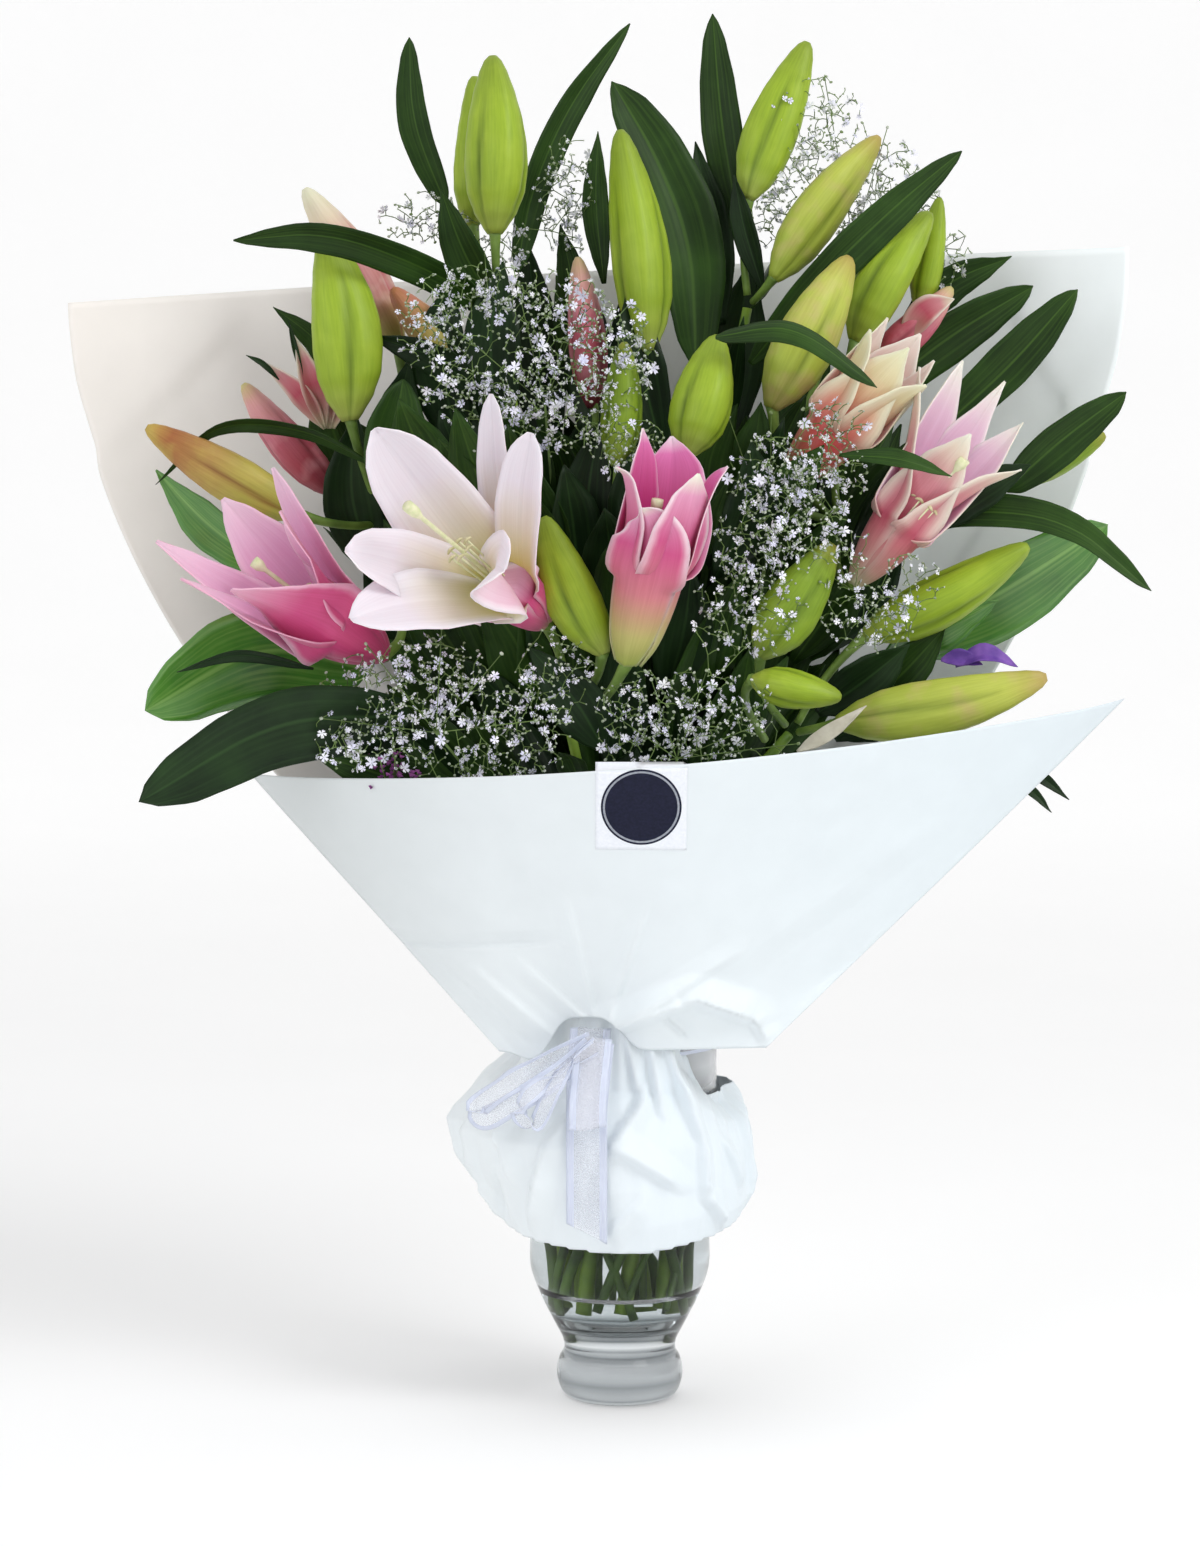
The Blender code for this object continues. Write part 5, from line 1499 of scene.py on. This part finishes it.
def makeTail(skirt, materials):
    # the tail hangs from the tie over the skirt, crushed into pleats at its top; its end is cut on the slant
    tree = surfaceOf(skirt)
    low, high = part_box("ribbon_tail")
    middle, top = (low.x + high.x) / 2 - 3 * millimetre, high.z + 4 * millimetre
    half = ribbonLook["width"] * millimetre / 2
    rows, columns = ribbonLook["tailRows"], ribbonLook["columns"]
    lying = np.empty((rows + 1, columns + 1))

    def placeAt(i, j):
        share, u = i / rows, 2 * j / columns - 1
        foot = low.z + (ribbonLook["short"] + (1 - u) * ribbonLook["slant"]) * millimetre
        x = middle + 2 * millimetre * (1 - min(1, share * 4)) + u * half
        return share, u, x, top + (foot - top) * share

    for i in range(rows + 1):
        for j in range(columns + 1):
            x, z = placeAt(i, j)[2:]
            lying[i, j] = min(frontOf(tree, x + dx, z + dz, low.y)
                              for dx in (-0.003, 0, 0.003) for dz in (-0.004, 0.004))
    for _ in range(ribbonLook["relaxed"]):
        lying[1:-1] = (lying[:-2] + lying[1:-1] + lying[2:]) / 3
    grid = []
    for i in range(rows + 1):
        row = []
        for j in range(columns + 1):
            share, u, x, z = placeAt(i, j)
            pleat = 1.3 * math.cos(u * 8 + 0.6) * math.exp(-share * 3) + 0.6 * math.sin(share * 15 + u * 1.5)
            row.append(Vector((x, lying[i, j] - (ribbonLook["stand"] + 1.4 + pleat) * millimetre, z)))
        grid.append(row)
    mesh = startMesh()
    addRibbonGrid(mesh, grid)
    piece = finishSheet("ribbonTail", mesh, materials, ["ribbon_tail"], ribbonLook["thickness"])


# the bow's loops and the crushed end beside the tail, each as its middle line, the way its width points at
# each of those places, and its width
loopLook = [
    {"line": [(-14, -76, 192), (-34, -80, 184), (-54, -80, 172), (-70, -72, 159), (-66, -74, 154),
              (-48, -82, 165), (-30, -82, 177), (-14, -78, 190)],
     "sides": [(0, -0.3, 1), (0.5, -0.3, 0.8), (0.55, 0, 0.8), (0.2, -0.2, 1), (0.2, -0.2, 1), (0.5, 0, 0.8),
               (0.5, 0, 0.8), (0.2, 0, 1)], "width": 12},
    {"line": [(-12, -78, 191), (-24, -84, 184), (-33, -87, 170), (-41, -85, 153), (-49, -85, 158),
              (-44, -88, 168), (-28, -86, 180), (-12, -80, 190)],
     "sides": [(0.5, 0, 1), (0.7, -0.2, 0.6), (0.9, -0.3, 0.3), (0.8, -0.5, -0.2), (0.2, -0.4, 1),
               (0.6, 0, 0.9), (0.8, 0, 0.5), (0.4, 0, 1)], "width": 9},
    {"line": [(-13, -76, 194), (-15, -84, 176), (-16, -88, 165), (-16, -89, 153), (-16, -86, 153),
              (-15, -83, 166), (-12, -76, 192)],
     "sides": [(1, 0, 0), (1, 0, 0), (1, 0, 0.1), (1, 0, 0.1), (1, 0, 0.1), (1, 0, 0), (1, 0, 0)],
     "width": 18},
]


def makeLoops(materials):
    # two small loops to the left of the tie and a longer one straight down
    mesh = startMesh()
    for loop in loopLook:
        path = [Vector(p) * millimetre for p in loop["line"]]
        sides = [Vector(s) for s in loop["sides"]]
        addRibbonGrid(mesh, ribbonAlong(path, sides, loop["width"] * millimetre, 60, lambda share, u:
                      0.8 * millimetre * math.sin(share * 20 + u * 3) * math.sin(math.pi * share)))
    piece = finishSheet("ribbonLoop", mesh, materials, ["ribbon_loop"], ribbonLook["thickness"])


def makeBand(materials):
    # the ribbon round the neck of the wrap, crushed into narrow pleats
    low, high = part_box("ribbon_band")
    radius = (high.x - low.x) / 2 - 0.2 * millimetre
    middle, half = (low.z + high.z) / 2, ribbonLook["crushed"] * millimetre / 2
    rows = []
    for i in range(ribbonLook["bandRows"] + 1):
        turn = 2 * math.pi * i / ribbonLook["bandRows"]
        row = []
        for j in range(ribbonLook["columns"] + 1):
            u = 2 * j / ribbonLook["columns"] - 1
            pleat = 0.8 * math.cos(u * 9 + 0.8 * math.sin(turn * 3)) + 0.3 * math.sin(turn * 17)
            z = middle + u * half + 1.1 * millimetre * math.sin(turn * 2 + 1)
            row.append(outAt(turn) * (radius + pleat * millimetre) + Vector((0, 0, z)))
        rows.append(row)
    rows[-1] = [p.copy() for p in rows[0]]
    mesh = startMesh()
    addRibbonGrid(mesh, rows)
    bmesh.ops.remove_doubles(mesh, verts=mesh.verts, dist=1e-6)
    piece = finishSheet("ribbonBand", mesh, materials, ["ribbon_band"], ribbonLook["thickness"])


# the seal: a plain navy disc with a thin silver ring on a pale square label; a ring is its share of the
# radius, how far it stands out in millimetres and its ink
sealLook = {"rings": [(0.0, 0.42, 0), (0.3, 0.42, 0), (0.6, 0.42, 0), (0.9, 0.42, 0), (0.915, 0.46, 1),
                      (0.95, 0.46, 1), (0.965, 0.42, 0), (0.992, 0.42, 0), (1.0, 0.38, 0), (1.0, 0.1, 0)],
            "sides": 72, "label": 43.0, "labelSteps": 24, "labelThickness": 0.12}


def makeSeal(sheet, ink, ringInk, labelFilm):
    tree = surfaceOf(sheet)
    low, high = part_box("round_seal")
    centre, radius = (low + high) / 2, (high.x - low.x) / 2

    def lyingAt(x, z, stand):
        return Vector((x, frontOf(tree, x, z, centre.y) - stand * millimetre, z))

    mesh = startMesh()
    rows = []
    for share, stand, _ in sealLook["rings"][1:]:
        reach = radius * share
        rows.append([lyingAt(centre.x + reach * math.cos(t), centre.z + reach * math.sin(t), stand)
                     for t in allRound(sealLook["sides"])])
    addGrid(mesh, rows, True, startCap=lyingAt(centre.x, centre.z, sealLook["rings"][0][1]),
            slotRule=lambda i, j: sealLook["rings"][i + 2][2])
    finishPiece("roundSeal", mesh, [ink, ringInk], ["round_seal"], recalculate=False)
    half, steps = sealLook["label"] * millimetre / 2, sealLook["labelSteps"]
    grid = []
    for i in range(steps + 1):
        z = centre.z - half + 2 * half * i / steps
        grid.append([lyingAt(centre.x - half + 2 * half * j / steps, z, 0.2) for j in range(steps + 1)])
    mesh = startMesh()
    addGrid(mesh, grid)
    finishSheet("sealLabel", mesh, [labelFilm], [], sealLook["labelThickness"])


view = {"elevation": 5.0, "distance": 2.149, "lens": 100.0, "aim": Vector((-0.010, 0.0, 0.316)),
        "lit": (0, 0, 0.35), "sky": 0.78}


def makeCamera():
    data = bpy.data.cameras.new("camera")
    data.lens = view["lens"]
    data.sensor_width = 36.0
    camera = newObject("camera", data)
    rise = math.radians(view["elevation"])
    camera.location = view["aim"] + Vector((0, -math.cos(rise), math.sin(rise))) * view["distance"]
    camera.rotation_euler = (math.pi / 2 - rise, 0, 0)
    bpy.context.scene.camera = camera


def addLight(name, place, size, power, colour):
    data = bpy.data.lights.new(name, "AREA")
    data.shape = "RECTANGLE"
    data.size = data.size_y = size
    data.energy = power
    data.color = linearColour(colour)[:3]
    light = newObject(name, data)
    light.location = place
    light.rotation_euler = (Vector(view["lit"]) - Vector(place)).to_track_quat("-Z", "Y").to_euler()


# a pale floor that bends up into a far wall, in metres; past litFrom it glows, brightest from litTo on
stageLook = {"half": 14.0, "back": 6.0, "rise": 9.0, "bend": 2.0, "steps": 12,
             "litFrom": 0.6, "litTo": 3.4, "light": 0.145}


def makeStage():
    material, tree = newMaterial("paleFloor")
    place = addNode(tree, "TexCoord").outputs["Object"]
    grain = addNode(tree, "TexNoise", {"Vector": place, "Scale": 4.0})
    colour = addNode(tree, "ValToRGB", {0: grain.outputs["Fac"]}, stops=[(0.0, "#f8f8f8"), (1.0, "#fbfbfb")])
    far = addNode(tree, "SeparateXYZ", {0: place}).outputs[1]
    lit = addNode(tree, "MapRange",
                  {"Value": far, "From Min": stageLook["litFrom"], "From Max": stageLook["litTo"],
                   "To Max": stageLook["light"]}, interpolation_type="SMOOTHSTEP")
    shader = addNode(tree, "BsdfPrincipled",
                     {"Base Color": colour.outputs[0], "Roughness": 0.9, "Emission Color": "#ffffff",
                      "Emission Strength": lit.outputs[0]})
    closeMaterial(material, shader)
    half, bend, steps = stageLook["half"], stageLook["bend"], stageLook["steps"]
    start = stageLook["back"] - bend
    line = [(-half, 0), (start, 0)]
    for k in range(1, steps + 1):
        turn = math.pi / 2 * k / steps
        line.append((start + bend * math.sin(turn), bend - bend * math.cos(turn)))
    line.append((stageLook["back"], stageLook["rise"]))
    mesh = bmesh.new()
    rows = [[mesh.verts.new((x, y, z)) for x in (-half, half)] for y, z in line]
    for a, b in zip(rows, rows[1:]):
        mesh.faces.new((a[0], a[1], b[1], b[0])).smooth = True
    data = toMesh("studioFloor", mesh)
    data.materials.append(material)
    newObject("studioFloor", data)


def makeLights():
    world = bpy.data.worlds.new("studio")
    bpy.context.scene.world = world
    world.use_nodes = True
    sky = world.node_tree.nodes["Background"].inputs
    sky[0].default_value, sky[1].default_value = linearColour("#ffffff"), view["sky"]
    addLight("keyLight", (1.7, -1.5, 2.1), 1.2, 34, "#ffffff")
    addLight("fillLight", (-1.8, -1.8, 1.2), 1.4, 11, "#f6f7ff")
    bpy.context.scene.view_settings.view_transform = "Standard"


makeCamera()
makeStage()
makeLights()
print("camera, stage and lights made")

# each bud's seam colour is partly painted shade in its grooves
budLooks = {
    "lime": {"along": [(0.0, "#a3b155"), (0.2, "#8da62c"), (0.65, "#92ac2b"), (1.0, "#7f942b")],
             "seam": "#566f16", "blush": "#a2b83a", "blushShare": 0.5},
    "deepLime": {"along": [(0.0, "#96aa4a"), (0.3, "#7f9a28"), (0.8, "#769224"), (1.0, "#8a8c32")],
                 "seam": "#4c6816", "blush": "#96ac3a", "blushShare": 0.4},
    "straw": {"along": [(0.0, "#9dae45"), (0.35, "#a6b346"), (0.8, "#b2ba50"), (1.0, "#a8944e")],
              "seam": "#74842a", "blush": "#c2a67a", "blushShare": 0.5},
    "blush": {"along": [(0.0, "#a0ac48"), (0.35, "#b5ad56"), (0.7, "#bd8f5a"), (1.0, "#a86c40")],
              "seam": "#84602f", "blush": "#c67b70", "blushShare": 0.9},
    "cream": {"along": [(0.0, "#a9ae5c"), (0.3, "#c0807a"), (0.55, "#ca868a"), (0.8, "#dccbb2"),
                        (1.0, "#d8d8bc")],
              "seam": "#bb4056", "blush": "#dcc6b8", "blushShare": 0.7},
    "amber": {"along": [(0.0, "#a3aa4a"), (0.35, "#aca24c"), (0.6, "#a8864a"), (0.85, "#985e36"),
                        (1.0, "#b4964a")],
              "seam": "#7c4a28", "blush": "#b4a24e", "blushShare": 0.7},
    "rose": {"along": [(0.0, "#7d3a40"), (0.3, "#b04856"), (0.6, "#c4687a"), (0.85, "#d4a096"),
                       (1.0, "#b8b070")],
             "seam": "#7c2c36", "blush": "#d898a0", "blushShare": 0.6},
}
budKinds = {"bud_05": "straw", "bud_07": "straw", "bud_10": "cream", "bud_11": "amber", "bud_12": "rose",
            "bud_14": "deepLime", "bud_16": "straw", "bud_18": "deepLime"}
petalLooks = {
    "shell": {"along": [(0.0, "#a8a24a"), (0.45, "#b9b045"), (0.66, "#cbc36e"), (0.76, "#d9cbba"),
                        (0.86, "#e0d3dc"), (1.0, "#e3d8e1")],
              "edge": "#ebe1ea", "edgeFrom": 0.55, "edgeShare": 0.7},
    "shellBack": {"along": [(0.0, "#cf9a7c"), (0.16, "#cf5f80"), (0.45, "#cc3f7c"), (0.62, "#dc9ab6"),
                            (1.0, "#efe2e6")],
                  "edge": "#f2e9ee", "edgeFrom": 0.7, "edgeShare": 0.7},
    "rosePink": {"along": [(0.0, "#b9a35e"), (0.25, "#b0588a"), (0.5, "#c8629c"), (0.8, "#da96bc"),
                           (1.0, "#e8c2d4")],
                 "edge": "#eebfd4", "edgeFrom": 0.72, "edgeShare": 0.75},
    "rosePinkBack": {"along": [(0.0, "#c4456f"), (0.4, "#cb3a72"), (0.75, "#d24c84"), (1.0, "#e0a3bb")],
                     "edge": "#eeb6cc", "edgeFrom": 0.78, "edgeShare": 0.8},
    "magenta": {"along": [(0.0, "#5e1530"), (0.4, "#8f1a50"), (0.7, "#c0307a"), (0.9, "#d868a6"),
                          (1.0, "#ecd2dd")],
                "edge": "#e3a8c6", "edgeFrom": 0.8, "edgeShare": 0.7},
    "magentaBack": {"along": [(0.0, "#97a344"), (0.22, "#b3a960"), (0.42, "#c66f78"), (0.62, "#c2447a"),
                              (0.84, "#d890b0"), (1.0, "#e9ecd4")],
                    "edge": "#ecd6dc", "edgeFrom": 0.74, "edgeShare": 0.8},
    "creamPink": {"along": [(0.0, "#b0a05c"), (0.3, "#c888a8"), (0.6, "#d384b6"), (0.85, "#e0b8cc"),
                            (1.0, "#e9e6d6")],
                  "edge": "#eee0df", "edgeFrom": 0.7, "edgeShare": 0.75},
    "creamPinkBack": {"along": [(0.0, "#c4bd98"), (0.22, "#c28a82"), (0.5, "#bd4a60"), (0.76, "#cc828a"),
                                (0.92, "#e0cdb8"), (1.0, "#e8e6d2")],
                      "edge": "#e6dccb", "edgeFrom": 0.5, "edgeShare": 0.85},
    "redPink": {"along": [(0.0, "#b0a05c"), (0.4, "#c4525e"), (1.0, "#ecdccf")],
                "edge": "#f0e6dc", "edgeFrom": 0.7, "edgeShare": 0.75},
    "redPinkBack": {"along": [(0.0, "#a2ad4c"), (0.2, "#c06a50"), (0.42, "#be3a3c"), (0.62, "#cf7c66"),
                              (0.8, "#d8c89a"), (1.0, "#e4e6c0")],
                    "edge": "#e2ddc0", "edgeFrom": 0.45, "edgeShare": 0.85},
}

stemMaterial = plantSkin("lilyStemSkin", [(0.3, "#587a20"), (0.7, "#98b83e")], 60.0, 0.5)
stalkMaterial = plantSkin("flowerStalkSkin", [(0.3, "#55722a"), (0.7, "#7f9d45")], 80.0, 0.5)
inner = makeVase(clearGlass())
makeWater(inner, vaseWater())
stemLines = makeStems(stemMaterial)
# partly painted shade: the dark filler stalks stand for the dark gaps between the stems
makeStalks(plantSkin("fillerStalkSkin", [(0.3, "#2f4715"), (0.7, "#64882e")], 60.0, 0.5))
print("vase, water and stems made")

lilyLeaf = leafSkin("lilyLeafSkin", {
    "ground": [(0.25, "#14270a"), (0.5, "#213a12"), (0.8, "#33541b")], "vein": "#4a6b28",
    "veins": 16.0, "veinShare": 0.3, "roughness": 0.5, "shine": 0.16, "coat": 0.03})
broadLeaf = leafSkin("broadLeafSkin", {
    "ground": [(0.25, "#2c5f17"), (0.5, "#458026"), (0.8, "#629c3a")], "vein": "#8fba60",
    "veins": 22.0, "veinShare": 0.4, "roughness": 0.3, "shine": 0.5, "coat": 0.5})
darkLeaf = leafSkin("darkLeafSkin", {
    "ground": [(0.25, "#0d1b0c"), (0.5, "#172b13"), (0.8, "#243f1b")], "vein": "#345228",
    "veins": 16.0, "veinShare": 0.25, "roughness": 0.45, "shine": 0.16, "coat": 0.05})
for node in sorted(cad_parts):
    if node.startswith("leaf_"):
        makeLeaf(node, node.replace("leaf_", "lilyLeaf"), [lilyLeaf], lilyLeafShape, 0.3, 0.06)
    if node.startswith("broad_leaf_"):
        skin = darkLeaf if node == "broad_leaf_2" else broadLeaf
        makeLeaf(node, node.replace("broad_leaf_", "broadLeaf"), [skin], broadLeafShape, 0.18, 0.05)
flowerObstacles = obstacleTree(("gypsophila", "water", "glass", "stem", "leaf", "broad"))
growStemLeaves(stemLines, flowerObstacles, [lilyLeaf, darkLeaf])
growFiller(flowerObstacles, [darkLeaf, lilyLeaf])
dryLeaf = plantSkin("dryLeafSkin", [(0.3, "#b9b29f"), (0.7, "#dcd7c8")], 120.0, 0.7)
placeLoose("looseLeaves", looseLeaves, [lilyLeaf, darkLeaf, broadLeaf, dryLeaf], 0.3, 24)
print("leaves made")

budSkins = {kind: budSkin(kind + "BudSkin", look) for kind, look in budLooks.items()}
for number, node in enumerate(sorted(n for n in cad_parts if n.startswith("bud_"))):
    makeBud(node, budSkins[budKinds.get(node, "lime")], stalkMaterial, 0.9 * number + 0.4)
makeHiddenBuds(budSkins, stalkMaterial, stemLines)
print("buds made")

petalSkins = {kind: petalSkin(kind + "PetalSkin", look) for kind, look in petalLooks.items()}
pistilMaterial = plantSkin("pistilSkin", [(0.3, "#cfd6a0"), (0.7, "#e6e2c0")], 300.0, 0.4)
antherMaterial = plantSkin("antherSkin", [(0.3, "#b0a878"), (0.7, "#d3cba4")], 500.0, 0.7)
for node, look in bloomLooks.items():
    makeBloom(node, look, petalSkins[look["skin"] + "Back"], petalSkins[look["skin"]],
              [stalkMaterial, pistilMaterial, antherMaterial])
bractMaterial = plantSkin("purpleBractSkin", [(0.3, "#5b3596"), (0.7, "#8a5cba")], 120.0, 0.6)
placeLoose("loosePetals", loosePetals, [petalSkins["creamPinkBack"], darkLeaf, bractMaterial],
           0.4, 18)
print("blooms made")

twigMaterial = plantSkin("gypsophilaTwigSkin", [(0.3, "#3a4f1c"), (0.7, "#74904a")], 90.0, 0.6)
openMaterial = plantSkin("gypsophilaPetalSkin", [(0.35, "#d9d9f0"), (0.65, "#fbfbff")], 160.0, 0.7)
closedMaterial = plantSkin("gypsophilaBudSkin", [(0.35, "#6f8450"), (0.65, "#c9cfc4")], 160.0, 0.6)
makeSprays(obstacleTree(("gypsophila", "water", "glass", "leaf", "broad")), twigMaterial, openMaterial,
           closedMaterial)
makeStatice(plantSkin("staticePetalSkin", [(0.3, "#7a3478"), (0.7, "#ab64a6")], 200.0, 0.7), twigMaterial)
print("gypsophila and statice made")

# painted light and shade across the sheets: the front greyer at its left, the back darker at its left and
# lighter at its right, the skirt darker at its right
frontPaperPaintedShade = coatedPaper("coolWhitePaper", [(0.0, "#c8cbcb"), (0.24, "#cfd4d4"), (0.4, "#e2e8ea"),
                                           (0.55, "#e6edf0"), (1.0, "#dde7ec")])
skirtPaper = coatedPaper("skirtWhitePaper",
                         [(0.0, "#e6ebed"), (0.4, "#e8eef0"), (0.55, "#e2eaef"), (1.0, "#d6e2e9")])
backPaperPaintedLightAndShade = coatedPaper("warmWhitePaper", [(0.0, "#f0ebe5"), (0.5, "#f0efed"), (1.0, "#f6fcfd")])
makeBackSheet(backPaperPaintedLightAndShade)
frontSheet = makeFrontSheet(frontPaperPaintedShade)
skirt = makeSkirt(skirtPaper)
print("paper made")

ribbonMaterials = [sheerOrganza(), satinEdge()]
makeBand(ribbonMaterials)
makeTail(skirt, ribbonMaterials)
makeLoops(ribbonMaterials)
makeSeal(frontSheet, sealInk("navySealInk", "#14172b", "#1d2038"),
         sealInk("silverSealInk", "#8d929c", "#a9aeb8"),
         sealInk("sealLabelFilm", "#e9edf4", "#f2f5fa"))
print("ribbon and seal made")
